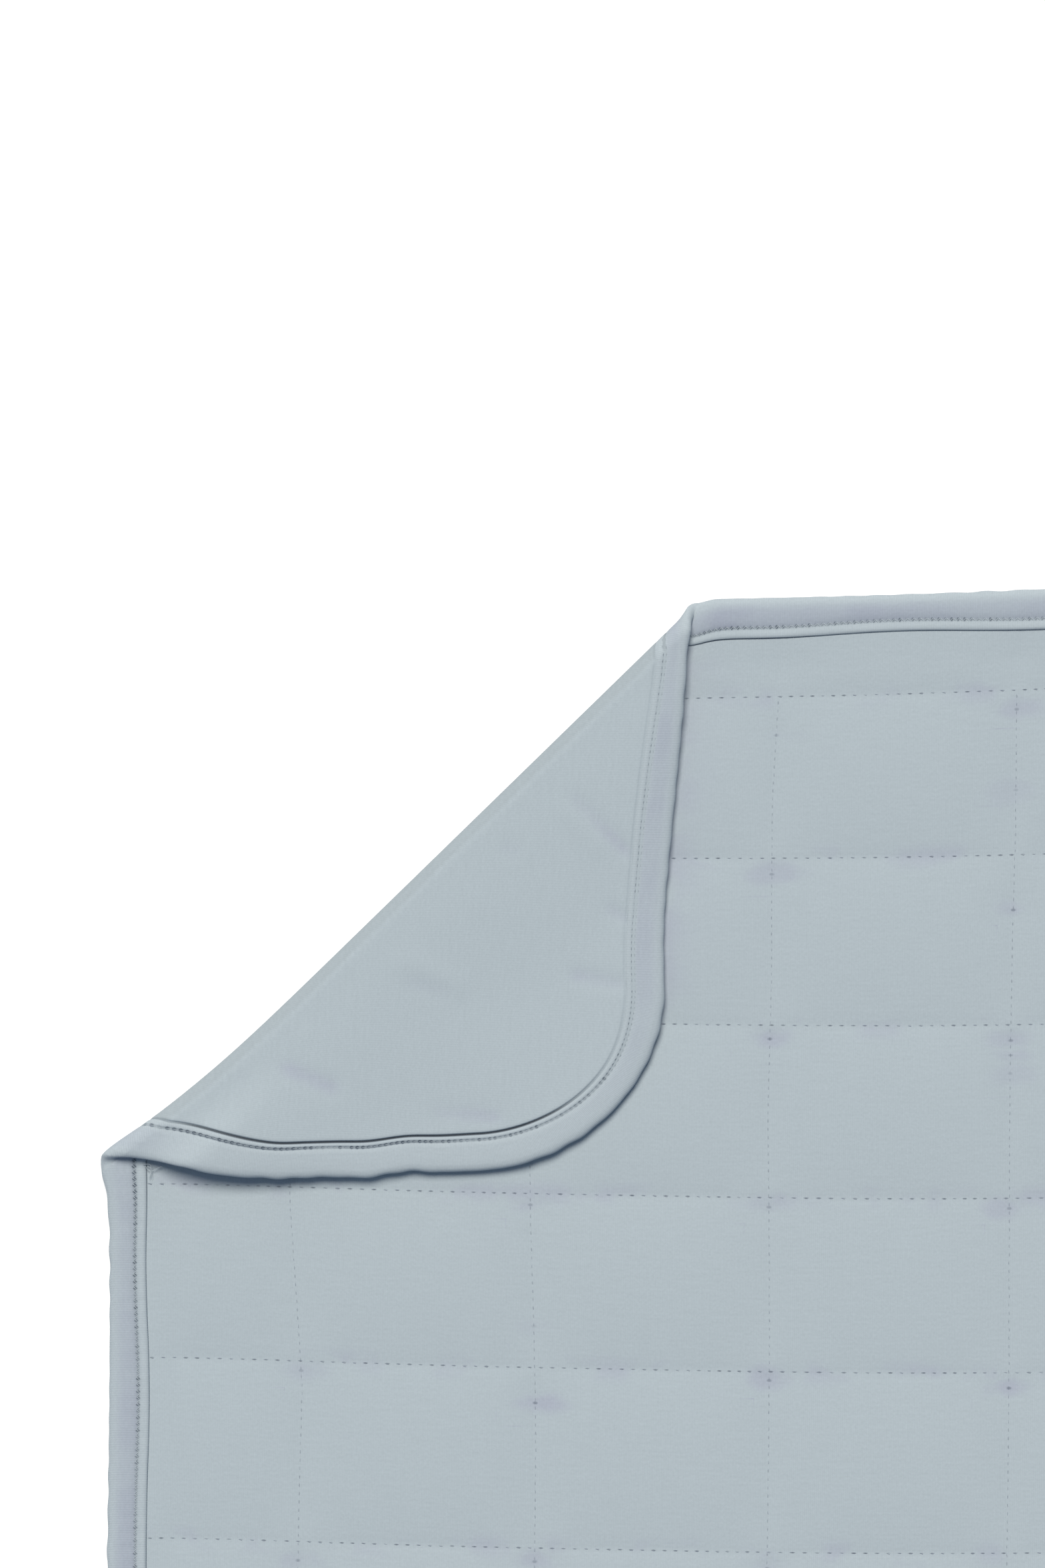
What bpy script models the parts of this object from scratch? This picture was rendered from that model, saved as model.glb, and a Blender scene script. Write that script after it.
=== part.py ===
# Quilted blanket lying flat, with its top left corner folded over onto its front.
# A quilted front panel and a plain back panel lie on each other, and a binding wraps their edge.
# Each piece is drawn flat, cut along lines that follow the fold, and then folded.
# Metres, +Z up. X runs across the blanket, Y along it, and the origin is under its middle.

import math

import bmesh
import bpy
from mathutils import Vector

# Outline of the whole blanket, flat
WIDTH = 0.762
LENGTH = 1.016
CORNER_RADIUS = 0.070
SIDE_STEP = 0.032
ARC_STEPS = 8

# Cloth thicknesses, and the gap between pieces
GAP = 0.0003
BINDING_CLOTH = 0.0010
BACK_CLOTH = 0.0010
EDGE_QUILT = 0.0014
SEAM_QUILT = 0.0015
PUFF = 0.0021

# Binding, measured in from the blanket's edge
BINDING_WIDTH = 0.0138
EDGE_ROUNDING = 0.0016
SHOULDER_INSET = 0.0005
SHOULDER_HEIGHT = 0.0009
POCKET_DEPTH = 0.0013
PANEL_INSET = 0.0026

# Where the panels come down from the binding's lower leg to the floor
STEP_START = 0.0146
STEP_END = 0.0240
FLAT_MARGIN = 0.0005

# Quilting seams: columns run along Y, rows run along X, counted from the top left
COLUMN_PITCH = 0.0889
COLUMNS = 8
FIRST_COLUMN = 0.06985
ROW_PITCH = 0.0635
ROWS = 16
FIRST_ROW = 0.0365
ROW_DRIFT = 0.0079
COLUMN_SHOULDER = 0.012
ROW_SHOULDER = 0.009
COLUMN_FLANK = 0.030
ROW_FLANK = 0.024

# How the cut cloth is pulled out of square at the folded corner
CORNER_DROP = 0.0127
CORNER_DROP_REACH = 0.55
CORNER_DROP_DEPTH = 0.120
LEFT_PULL = 0.0059
LEFT_PULL_REACH = 0.107
TOP_DRIFT = -0.0011
TOP_DRIFT_DEPTH = 0.080
EDGE_WAVE = 0.0007
EDGE_WAVE_LENGTH = 0.31

# Fold line: its two ends on the blanket's left and top edges
FOLD_LEFT_DOWN = 0.2214
FOLD_TOP_ACROSS = 0.2181
FOLD_TOP_DOWN = 0.0092

# The bend stands this far clear of the cloth it folds over, and is cut this finely with its flap
BEND_CLEARANCE = 0.0005
BEND_STEPS = 8
FLAP_STEP = 0.016
FLAP_CROSS_STEP = 0.032
FLAP_DEPTH = 0.140

# Points closer than these become one point when a piece is cut, swept or finished
CUT_SNAP = 0.0001
SWEEP_SNAP = 0.00001
FINISH_SNAP = 0.00002

# How the flap settles behind the bend, how its lower edge stands up and slides out, and how its corner shifts
FLAP_SAG = 0.0009
FLAP_SAG_START = 0.010
FLAP_SAG_RUN = 0.030
FLAP_LIFT = 0.0042
FLAP_SLIDE = 0.0046
FLAP_LIFT_REACH = 0.055
FLAP_LIFT_PEAK = 0.051
FLAP_LIFT_POWER = 1.27
CORNER_SHIFT = Vector((0.0091, 0.0028, 0))
CORNER_SHIFT_START = 0.0685
CORNER_SHIFT_RUN = 0.0758

# How the fold bows in: how far, how much less towards its top end, and how fast it starts and ends
FOLD_BOW = 0.0069
FOLD_BOW_TAPER = 0.27
FOLD_BOW_RISE = 0.148
FOLD_BOW_POWER = 1.5
FOLD_BOW_REACH = 0.055
FOLD_BOW_LEAD = 0.0095
FOLD_BOW_FADE = 0.0165

# Colours of the cloth, linear
CLOTH_COLOUR = (0.445, 0.506, 0.546, 1.0)
BINDING_COLOUR = (0.423, 0.474, 0.524, 1.0)
CLOTH_ROUGHNESS = 0.95

HALF_WIDTH = WIDTH / 2
HALF_LENGTH = LENGTH / 2
EDGE_RISE = BINDING_CLOTH + GAP
PANEL_RISE = BACK_CLOTH + GAP
EDGE_THICKNESS = 2 * (BINDING_CLOTH + GAP) + BACK_CLOTH + GAP + EDGE_QUILT
BEND_HEIGHT = EDGE_THICKNESS + BEND_CLEARANCE
BEND_RADIUS = BEND_HEIGHT - EDGE_THICKNESS / 2
BEND_LENGTH = math.pi * BEND_RADIUS

FOLD_START = Vector((-HALF_WIDTH, HALF_LENGTH - FOLD_LEFT_DOWN, 0))
FOLD_END = Vector((-HALF_WIDTH + FOLD_TOP_ACROSS, HALF_LENGTH - FOLD_TOP_DOWN, 0))
FOLD_LENGTH = (FOLD_END - FOLD_START).length
ALONG = (FOLD_END - FOLD_START).normalized()
OUTWARD = Vector((-ALONG.y, ALONG.x, 0))


def clear_scene():
    for old in list(bpy.data.objects):
        bpy.data.objects.remove(old)


# Share from 0 to 1 that starts and ends level
def smooth(share):
    share = max(0.0, min(1.0, share))
    return share * share * (3 - 2 * share)


# The rounded rectangle drawn in by inset, counter-clockwise, with the same stations at any inset
def outline(inset):
    across = HALF_WIDTH - CORNER_RADIUS
    along = HALF_LENGTH - CORNER_RADIUS
    radius = CORNER_RADIUS - inset
    centres = [(across, along), (-across, along), (-across, -along), (across, -along)]
    points = []
    for corner, (cx, cy) in enumerate(centres):
        for step in range(ARC_STEPS + 1):
            angle = math.radians(90) * (corner + step / ARC_STEPS)
            points.append(Vector((cx + radius * math.cos(angle), cy + radius * math.sin(angle), 0)))
        side = 2 * (across if corner % 2 == 0 else along)
        parts = round(side / SIDE_STEP)
        heading = Vector((-math.sin(angle), math.cos(angle), 0))
        corner_end = points[-1]
        for step in range(1, parts):
            points.append(corner_end + heading * (side * step / parts))
    return points


# How far inside the blanket's edge a flat point lies
def edge_distance(x, y):
    over_x = abs(x) - (HALF_WIDTH - CORNER_RADIUS)
    over_y = abs(y) - (HALF_LENGTH - CORNER_RADIUS)
    outside = math.hypot(max(over_x, 0), max(over_y, 0))
    return CORNER_RADIUS - outside - min(max(over_x, over_y), 0)


def column_x(index):
    return -HALF_WIDTH + FIRST_COLUMN + index * COLUMN_PITCH


# The rows in the middle of the length lie a little further down than an even pitch puts them
def row_y(index):
    drift = ROW_DRIFT * (1 - math.cos(2 * math.pi * index / (ROWS - 1))) / 2
    return HALF_LENGTH - FIRST_ROW - index * ROW_PITCH - drift


COLUMN_SEAMS = [column_x(index) for index in range(COLUMNS)]
ROW_SEAMS = [row_y(index) for index in range(ROWS)]


# Lines that shape the puffs: each seam, its two shoulders and the middle between two seams
def relief_lines(seams, shoulder, low, high):
    ordered = sorted(seams)
    lines = []
    for seam in ordered:
        lines += [seam - shoulder, seam, seam + shoulder]
    for first, second in zip([low, *ordered], [*ordered, high]):
        if (second - first) / 2 > 2 * shoulder:
            lines.append((first + second) / 2)
    return sorted(line for line in lines if low + shoulder / 2 < line < high - shoulder / 2)


# Height of a puff beside a seam, from 0 on the seam to 1 a flank's length away
def flank(value, seams, reach):
    nearest = min(abs(value - seam) for seam in seams)
    return 1 - (1 - min(nearest / reach, 1)) ** 2


# Height at which the panels' underside lies: on the binding's lower leg, then on the floor
def bed_height(x, y):
    down = edge_distance(x, y) - STEP_START - FLAT_MARGIN
    return EDGE_RISE * (1 - smooth(down / (STEP_END - STEP_START - 2 * FLAT_MARGIN)))


def quilt_thickness(x, y):
    inward = smooth((edge_distance(x, y) - STEP_START - FLAT_MARGIN) / COLUMN_SHOULDER)
    crown = flank(x, COLUMN_SEAMS, COLUMN_FLANK) * flank(y, ROW_SEAMS, ROW_FLANK)
    return EDGE_QUILT + inward * (SEAM_QUILT - EDGE_QUILT + PUFF * crown)


def back_lower(x, y):
    return bed_height(x, y)


def back_upper(x, y):
    return bed_height(x, y) + BACK_CLOTH


def quilt_lower(x, y):
    return bed_height(x, y) + PANEL_RISE


def quilt_upper(x, y):
    return bed_height(x, y) + PANEL_RISE + quilt_thickness(x, y)


# Where the cut cloth really lies before it is folded
def pull_out_of_square(x, y):
    from_left = x + HALF_WIDTH
    from_top = HALF_LENGTH - y
    near_left = 1 - smooth(from_left / CORNER_DROP_REACH)
    drop = CORNER_DROP * near_left * math.exp(-((from_top / CORNER_DROP_DEPTH) ** 2))
    pull = LEFT_PULL * math.exp(-((from_left / LEFT_PULL_REACH) ** 2)) * smooth(from_top / FOLD_LEFT_DOWN)
    drift = TOP_DRIFT * math.exp(-from_top / TOP_DRIFT_DEPTH) * smooth(from_left / FOLD_TOP_ACROSS)
    wave_x = -EDGE_WAVE * math.sin(2 * math.pi * y / EDGE_WAVE_LENGTH)
    wave_y = EDGE_WAVE * math.sin(2 * math.pi * x / EDGE_WAVE_LENGTH)
    return x + drift + wave_x, y - drop + pull + wave_y


# Distance past the fold line, and distance along it, of a flat point
def fold_place(point):
    offset = point - FOLD_START
    return offset.dot(OUTWARD), offset.dot(ALONG)


# How far the flap's lower edge swells, from 0 to 1, at a flat point and its distance past the bend
def flap_swell(point, behind):
    inward = max(point.x - FOLD_START.x, 0) / FLAP_LIFT_REACH
    upward = max(point.y - FOLD_START.y, 0) / FLAP_LIFT_PEAK
    swell = (upward * math.exp(1 - upward)) ** FLAP_LIFT_POWER
    return math.exp(-(inward**2)) * swell * smooth(behind / FLAP_SAG_RUN)


# How the flap moves from a level fold: its lower edge stands up and slides out, its corner shifts
# and the rest settles
def settle(point, behind):
    swell = flap_swell(point, behind)
    sag = FLAP_SAG * smooth((behind - FLAP_SAG_START) / FLAP_SAG_RUN)
    shift = CORNER_SHIFT * smooth((behind - CORNER_SHIFT_START) / CORNER_SHIFT_RUN)
    return shift + Vector((0, -FLAP_SLIDE * swell, FLAP_LIFT * swell**2 - sag))


# A point of the flat blanket, its height in Z, turned over the fold line
def fold(point):
    past, along = fold_place(point)
    if past <= 0:
        return point.copy()
    reach = BEND_HEIGHT - point.z
    base = FOLD_START + ALONG * along
    if past < BEND_LENGTH:
        angle = past / BEND_RADIUS
        height = BEND_HEIGHT - reach * math.cos(angle)
        return base + OUTWARD * (reach * math.sin(angle)) + Vector((0, 0, height))
    behind = past - BEND_LENGTH
    return base - OUTWARD * behind + Vector((0, 0, BEND_HEIGHT + reach)) + settle(point, behind)


# The fold and what lies beside it drawn in between the fold's two ends
def bow_in(point):
    past, along = fold_place(point)
    share = max(0.0, along / FOLD_LENGTH)
    rise = 1 - math.exp(-((share / FOLD_BOW_RISE) ** FOLD_BOW_POWER))
    fade = 1 - smooth((along - FOLD_LENGTH + FOLD_BOW_LEAD) / FOLD_BOW_FADE)
    bow = FOLD_BOW * (1 - FOLD_BOW_TAPER * share) * rise * fade
    return point - OUTWARD * (bow * math.exp(-((past / FOLD_BOW_REACH) ** 2)))


# Distances past the fold line at which every piece is cut: round the bend, then across the flap
def fold_cuts():
    bend = [BEND_LENGTH * step / BEND_STEPS for step in range(BEND_STEPS + 1)]
    flap = [BEND_LENGTH + FLAP_STEP * step for step in range(1, int(FLAP_DEPTH / FLAP_STEP) + 1)]
    return bend + flap


def cut(bm, faces, place, normal):
    edges = {edge for face in faces for edge in face.edges}
    verts = {vert for face in faces for vert in face.verts}
    bmesh.ops.bisect_plane(
        bm, geom=[*verts, *edges, *faces], plane_co=place, plane_no=normal, dist=CUT_SNAP
    )


# Cuts a flat piece along the fold, and its bend and flap across the fold, so that they can curve
def cut_for_fold(bm):
    for distance in fold_cuts():
        cut(bm, bm.faces[:], FOLD_START + OUTWARD * distance, OUTWARD)
    steps = int(FOLD_LENGTH / FLAP_CROSS_STEP)
    for step in range(1, steps + 1):
        folded = [
            face for face in bm.faces if fold_place(face.calc_center_median())[0] > 0 and len(face.verts) > 3
        ]
        cut(bm, folded, FOLD_START + ALONG * (FOLD_LENGTH * step / (steps + 1)), ALONG)


def finish_piece(bm, name, collection, colour):
    cut_for_fold(bm)
    bmesh.ops.triangulate(bm, faces=bm.faces[:])
    bmesh.ops.dissolve_degenerate(bm, edges=bm.edges[:], dist=FINISH_SNAP)
    bmesh.ops.triangulate(bm, faces=[face for face in bm.faces if len(face.verts) > 3])
    for vert in bm.verts:
        vert.co = bow_in(fold(vert.co))
    bmesh.ops.recalc_face_normals(bm, faces=bm.faces[:])
    mesh = bpy.data.meshes.new(name)
    bm.to_mesh(mesh)
    bm.free()
    mesh.materials.append(cloth_material(name + "_cloth", colour))
    mesh.shade_smooth()
    piece = bpy.data.objects.new(name, mesh)
    collection.objects.link(piece)
    return piece


def cloth_material(name, colour):
    material = bpy.data.materials.new(name)
    material.use_nodes = True
    shader = material.node_tree.nodes["Principled BSDF"]
    shader.inputs["Base Color"].default_value = colour
    shader.inputs["Roughness"].default_value = CLOTH_ROUGHNESS
    shader.inputs["Metallic"].default_value = 0.0
    return material


# A flat slab with rings along its edge, still one unit thick
def ringed_slab(edge_inset):
    bm = bmesh.new()
    sheet = bm.faces.new([bm.verts.new(point) for point in outline(edge_inset)])
    made = bmesh.ops.extrude_face_region(bm, geom=[sheet])
    top = [item for item in made["geom"] if isinstance(item, bmesh.types.BMVert)]
    bmesh.ops.translate(bm, verts=top, vec=(0, 0, 1))
    bmesh.ops.recalc_face_normals(bm, faces=bm.faces[:])
    for ring in (STEP_START - edge_inset, STEP_END - STEP_START):
        for side in (-1, 1):
            middle = [face for face in bm.faces if face.normal.z * side > 0.5]
            widest = max(middle, key=lambda face: face.calc_area())
            bmesh.ops.inset_region(bm, faces=[widest], thickness=ring, use_even_offset=True)
    return bm


def inner_top_faces(bm):
    limit = STEP_END - FLAT_MARGIN
    found = []
    for face in bm.faces:
        if face.normal.z > 0.5 and all(edge_distance(v.co.x, v.co.y) > limit for v in face.verts):
            found.append(face)
    return found


def cut_relief(bm):
    low_x = -HALF_WIDTH + STEP_END
    low_y = -HALF_LENGTH + STEP_END
    for x in relief_lines(COLUMN_SEAMS, COLUMN_SHOULDER, low_x, -low_x):
        cut(bm, inner_top_faces(bm), Vector((x, 0, 0)), Vector((1, 0, 0)))
    for y in relief_lines(ROW_SEAMS, ROW_SHOULDER, low_y, -low_y):
        cut(bm, inner_top_faces(bm), Vector((0, y, 0)), Vector((0, 1, 0)))


# Gives a slab its lower and upper heights and pulls it out of square
def shape_slab(bm, lower, upper):
    for vert in bm.verts:
        x, y, level = vert.co
        height = upper(x, y) if level > 0.5 else lower(x, y)
        vert.co = (*pull_out_of_square(x, y), height)


def make_quilted_panel(collection):
    bm = ringed_slab(PANEL_INSET)
    cut_relief(bm)
    shape_slab(bm, quilt_lower, quilt_upper)
    return finish_piece(bm, "quilted_panel", collection, CLOTH_COLOUR)


def make_back_panel(collection):
    bm = ringed_slab(PANEL_INSET)
    shape_slab(bm, back_lower, back_upper)
    return finish_piece(bm, "back_panel", collection, CLOTH_COLOUR)


def poly_curve(name, points):
    data = bpy.data.curves.new(name, "CURVE")
    data.dimensions = "2D"
    data.fill_mode = "NONE"
    spline = data.splines.new("POLY")
    spline.points.add(len(points) - 1)
    for point, place in zip(spline.points, points):
        point.co = (place[0], place[1], 0, 1)
    spline.use_cyclic_u = True
    return bpy.data.objects.new(name, data)


# Section of the binding: a flattened U whose two legs hold the panels' edge.
# Each point is its distance in from the blanket's edge, and its height.
def binding_section():
    top = EDGE_THICKNESS
    inner_high = top - BINDING_CLOTH
    pocket = PANEL_INSET - GAP
    return [
        (BINDING_WIDTH, 0.0),
        (EDGE_ROUNDING, 0.0),
        (SHOULDER_INSET, SHOULDER_HEIGHT),
        (0.0, top / 2),
        (SHOULDER_INSET, top - SHOULDER_HEIGHT),
        (EDGE_ROUNDING, top),
        (BINDING_WIDTH, top),
        (BINDING_WIDTH, inner_high),
        (pocket, inner_high),
        (POCKET_DEPTH, top / 2),
        (pocket, BINDING_CLOTH),
        (BINDING_WIDTH, BINDING_CLOTH),
    ]


def make_binding(collection, guides):
    section = poly_curve("binding_section", binding_section())
    path = poly_curve("binding_path", outline(0.0))
    path.data.bevel_mode = "OBJECT"
    path.data.bevel_object = section
    for guide in (section, path):
        guides.objects.link(guide)
        guide.hide_render = True
    graph = bpy.context.evaluated_depsgraph_get()
    swept = bpy.data.meshes.new_from_object(path.evaluated_get(graph))
    for guide in (path, section):
        bpy.data.objects.remove(guide)
    bm = bmesh.new()
    bm.from_mesh(swept)
    bpy.data.meshes.remove(swept)
    bmesh.ops.remove_doubles(bm, verts=bm.verts[:], dist=SWEEP_SNAP)
    for vert in bm.verts:
        vert.co.xy = pull_out_of_square(vert.co.x, vert.co.y)
    return finish_piece(bm, "binding", collection, BINDING_COLOUR)


# Shifts the whole blanket so that its box is centred over the origin
def centre_over_origin(pieces):
    corners = [vert.co for piece in pieces for vert in piece.data.vertices]
    middle_x = (min(c.x for c in corners) + max(c.x for c in corners)) / 2
    middle_y = (min(c.y for c in corners) + max(c.y for c in corners)) / 2
    lowest = min(c.z for c in corners)
    for piece in pieces:
        piece.location = (-middle_x, -middle_y, -lowest)


def new_collection(name):
    collection = bpy.data.collections.new(name)
    bpy.context.scene.collection.children.link(collection)
    return collection


def main():
    clear_scene()
    blanket = new_collection("blanket")
    guides = new_collection("guides")
    pieces = [
        make_quilted_panel(blanket),
        make_back_panel(blanket),
        make_binding(blanket, guides),
    ]
    centre_over_origin(pieces)


main()
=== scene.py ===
# Quilted blanket with one corner folded over: its cloth, binding, sewing, light and camera
import math

import bmesh
import bpy
import numpy as np
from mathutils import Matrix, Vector


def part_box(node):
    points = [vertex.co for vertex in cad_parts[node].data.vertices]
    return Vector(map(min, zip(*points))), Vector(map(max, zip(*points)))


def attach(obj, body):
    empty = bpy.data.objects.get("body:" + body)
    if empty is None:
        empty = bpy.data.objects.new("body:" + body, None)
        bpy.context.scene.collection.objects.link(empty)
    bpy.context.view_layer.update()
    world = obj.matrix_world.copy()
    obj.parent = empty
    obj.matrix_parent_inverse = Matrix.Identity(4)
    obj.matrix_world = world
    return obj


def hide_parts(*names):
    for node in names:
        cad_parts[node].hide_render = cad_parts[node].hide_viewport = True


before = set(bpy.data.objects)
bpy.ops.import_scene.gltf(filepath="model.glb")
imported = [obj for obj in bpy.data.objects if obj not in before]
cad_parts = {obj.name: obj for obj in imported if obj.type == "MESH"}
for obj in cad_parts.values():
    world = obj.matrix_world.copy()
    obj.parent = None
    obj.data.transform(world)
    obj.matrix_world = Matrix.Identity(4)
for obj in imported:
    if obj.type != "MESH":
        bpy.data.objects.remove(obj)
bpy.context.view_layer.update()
print("frame loaded:", sorted(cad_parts))

# The whole blanket, in metres: X across, Y along, flat and before it is folded
blanket = {
    "width": 0.762,
    "length": 1.016,
    "cornerRadius": 0.070,
    "panelInset": 0.0026,  # the panels stop this far inside the binding's outer edge
    "edgeRise": 0.0013,  # the binding's lower leg and the gap over it
    "panelRise": 0.0013,  # the back cloth and the gap over it
    "backCloth": 0.0010,
    "edgeQuilt": 0.0014,  # thickness of the quilted cloth inside the binding
    "seamQuilt": 0.0015,  # on a seam
    "puff": 0.0013,  # more than that between the seams
    "stepStart": 0.0151,  # where the panels leave the binding's lower leg
    "stepEnd": 0.0235,  # and where they have reached the floor
    "edgeThickness": 0.0053,
    "sewnInset": 0.0145,  # the quilting stitches end this far in
    "bindingCut": 0.0325,  # flat width of the binding's strip
}

# Seams of the quilting, counted from the top left
quilting = {
    "columnPitch": 0.0889,
    "columns": 8,
    "firstColumn": 0.06985,
    "columnFlank": 0.030,
    "columnShoulder": 0.012,
    "rowPitch": 0.0635,
    "rows": 16,
    "firstRow": 0.0365,
    "rowFlank": 0.030,
    "rowDrift": 0.0079,
    "rowNudges": {0: -0.0010, 4: 0.0004, 5: -0.0015},  # rows sewn a little off their place
    # how far each column strays sideways, at places along the blanket
    "columnBends": [
        [(0.271, -0.0027), (0.245, -0.0011), (0.204, 0.0016), (0.164, 0.0010), (-0.05, 0.0)],
        [(0.266, -0.0025), (0.231, -0.0015), (0.189, -0.0005), (-0.05, 0.0005)],
        [(0.476, 0.002), (0.431, -0.0003), (0.362, -0.0007), (0.308, -0.0028), (0.238, -0.003)],
        [(0.478, 0.0012), (0.416, 0.001), (0.352, -0.0008), (0.298, -0.0023), (0.248, -0.003)],
    ],
    "columnStray": 0.0007,  # the same for the other columns, as one long wave
    "columnStrayLength": 0.29,
    "strayReach": 0.022,
}

# How the cloth is pulled out of square, then folded over its upper left corner
lying = {
    "cornerDrop": 0.0127,
    "cornerDropReach": 0.55,
    "cornerDropDepth": 0.120,
    "leftPull": 0.0059,
    "leftPullReach": 0.107,
    "topDrift": -0.0011,
    "topDriftDepth": 0.080,
    "edgeWave": 0.0007,
    "edgeWaveLength": 0.31,
    "foldLeftDown": 0.2214,
    "foldTopAcross": 0.2181,
    "foldTopDown": 0.0092,
    "bendHeight": 0.0058,
    "sag": 0.0022,
    "sagStart": 0.010,
    "sagRun": 0.055,
    "flapRun": 0.030,
    "lift": 0.0048,
    "liftTop": 0.031,  # where the lifted edge is highest, from the fold
    "liftRun": 0.017,
    "slide": 0.0046,
    "liftReach": 0.055,
    "liftPeak": 0.051,
    "liftPower": 1.27,
    "cornerShift": (0.0091, 0.0028),
    "cornerShiftStart": 0.0685,
    "cornerShiftRun": 0.0758,
    "bow": 0.0054,
    "bowTaper": 0.03,
    "bowRise": 0.15,
    "bowPower": 2.0,
    "bowReach": 0.055,
    "bowReachUnder": 0.012,  # the cloth that lies under the flap is pulled less far in
    "bowLead": 0.011,
    "bowFade": 0.019,
    "pressFrom": 0.0045,  # the layers outside this are pressed together in the bend
    "pressShare": 0.25,
    "endBulge": 0.0032,  # the fold's left end swells out
    "endBulgeUp": 0.0085,
    "endBulgeReach": 0.0150,
    "topCurl": 0.0045,  # and the binding curls over at its top end
    "topCurlDown": 0.0030,
    "topCurlReach": 0.0060,
    "pleatHeight": 0.00030,  # small slanting pleats at both ends
    "pleatLength": 0.0040,
    "pleats": [  # their place, the direction across them and their reach
        ((-0.3810, 0.2991), (0.45, 0.75), 0.0075),
        ((-0.1585, 0.4930), (0.83, -0.55), 0.0045),
    ],
    # where the flap's lower edge steps up or hangs lower: across, half width, up
    "dents": [
        (-0.2700, 0.0090, 0.0011),
        (-0.2865, 0.0080, -0.0008),
        (-0.3180, 0.0070, -0.0004),
    ],
    "dentReach": 0.020,
    "softWave": 0.00035,  # gentle unevenness of the flap
    "softWaveRise": 0.6,
    "softWaveLength": 0.085,
}

halfWidth = blanket["width"] / 2
halfLength = blanket["length"] / 2
firstColumn = quilting["firstColumn"] - halfWidth
columnSeams = firstColumn + np.arange(quilting["columns"]) * quilting["columnPitch"]
rowCount = np.arange(quilting["rows"])
rowSeams = halfLength - quilting["firstRow"] - rowCount * quilting["rowPitch"]
rowDrift = (1 - np.cos(2 * math.pi * rowCount / (quilting["rows"] - 1))) / 2
rowSeams = rowSeams - quilting["rowDrift"] * rowDrift
for rowIndex, nudge in quilting["rowNudges"].items():
    rowSeams[rowIndex] += nudge

bendRadius = lying["bendHeight"] - blanket["edgeThickness"] / 2
bendLength = math.pi * bendRadius
foldStart = np.array([-halfWidth, halfLength - lying["foldLeftDown"]])
foldEnd = np.array([-halfWidth + lying["foldTopAcross"], halfLength - lying["foldTopDown"]])
foldLength = float(np.linalg.norm(foldEnd - foldStart))
alongFold = (foldEnd - foldStart) / foldLength
outward = np.array([-alongFold[1], alongFold[0]])  # from the fold towards the corner that is turned over


def smooth(share):
    share = np.clip(share, 0.0, 1.0)
    return share * share * (3 - 2 * share)


def ramp(value, start, run):
    return smooth((value - start) / run)


def softNoise(x, y, size, seed):
    # a few long waves in different directions, from about -1 to 1
    rng = np.random.default_rng(seed)
    total = np.zeros_like(x)
    for _ in range(7):
        turn = rng.uniform(0, 2 * math.pi)
        wave = size * rng.uniform(0.6, 1.5)
        phase = rng.uniform(0, 2 * math.pi)
        total = total + np.sin(2 * math.pi * (x * math.cos(turn) + y * math.sin(turn)) / wave + phase)
    return total / 4


def edgeDistance(x, y):
    # how far inside the blanket's edge a flat point lies
    overX = np.abs(x) - (halfWidth - blanket["cornerRadius"])
    overY = np.abs(y) - (halfLength - blanket["cornerRadius"])
    outside = np.hypot(np.maximum(overX, 0), np.maximum(overY, 0))
    return blanket["cornerRadius"] - outside - np.minimum(np.maximum(overX, overY), 0)


def nearestSeam(value, seams):
    index = np.abs(value[:, None] - seams[None, :]).argmin(axis=1)
    return index, np.abs(value - seams[index])


def flank(distance, reach):
    return 1 - (1 - np.minimum(distance / reach, 1)) ** 2


def seamStray(x, y):
    # sideways stray of the column seams, which dies away between them
    total = np.zeros_like(x)
    for index, seam in enumerate(columnSeams):
        if index < len(quilting["columnBends"]):
            heights, sideways = np.array(sorted(quilting["columnBends"][index])).T
            stray = np.interp(y, heights, sideways)
        else:
            turn = 2 * math.pi * y / quilting["columnStrayLength"]
            stray = quilting["columnStray"] * np.sin(turn + 1.9 * index)
        total = total + stray * np.exp(-(((x - seam) / quilting["strayReach"]) ** 2))
    return total


def bedHeight(x, y):
    run = blanket["stepEnd"] - blanket["stepStart"]
    return blanket["edgeRise"] * (1 - ramp(edgeDistance(x, y), blanket["stepStart"], run))


def pullOutOfSquare(x, y):
    fromLeft = x + halfWidth
    fromTop = halfLength - y
    nearLeft = 1 - smooth(fromLeft / lying["cornerDropReach"])
    drop = lying["cornerDrop"] * nearLeft * np.exp(-((fromTop / lying["cornerDropDepth"]) ** 2))
    pull = lying["leftPull"] * np.exp(-((fromLeft / lying["leftPullReach"]) ** 2))
    pull = pull * smooth(fromTop / lying["foldLeftDown"])
    drift = lying["topDrift"] * np.exp(-fromTop / lying["topDriftDepth"])
    drift = drift * smooth(fromLeft / lying["foldTopAcross"])
    waveX = -lying["edgeWave"] * np.sin(2 * math.pi * y / lying["edgeWaveLength"])
    waveY = lying["edgeWave"] * np.sin(2 * math.pi * x / lying["edgeWaveLength"])
    return x + drift + waveX, y - drop + pull + waveY


def foldPlace(points):
    offset = points[:, :2] - foldStart
    return offset @ outward, offset @ alongFold


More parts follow.
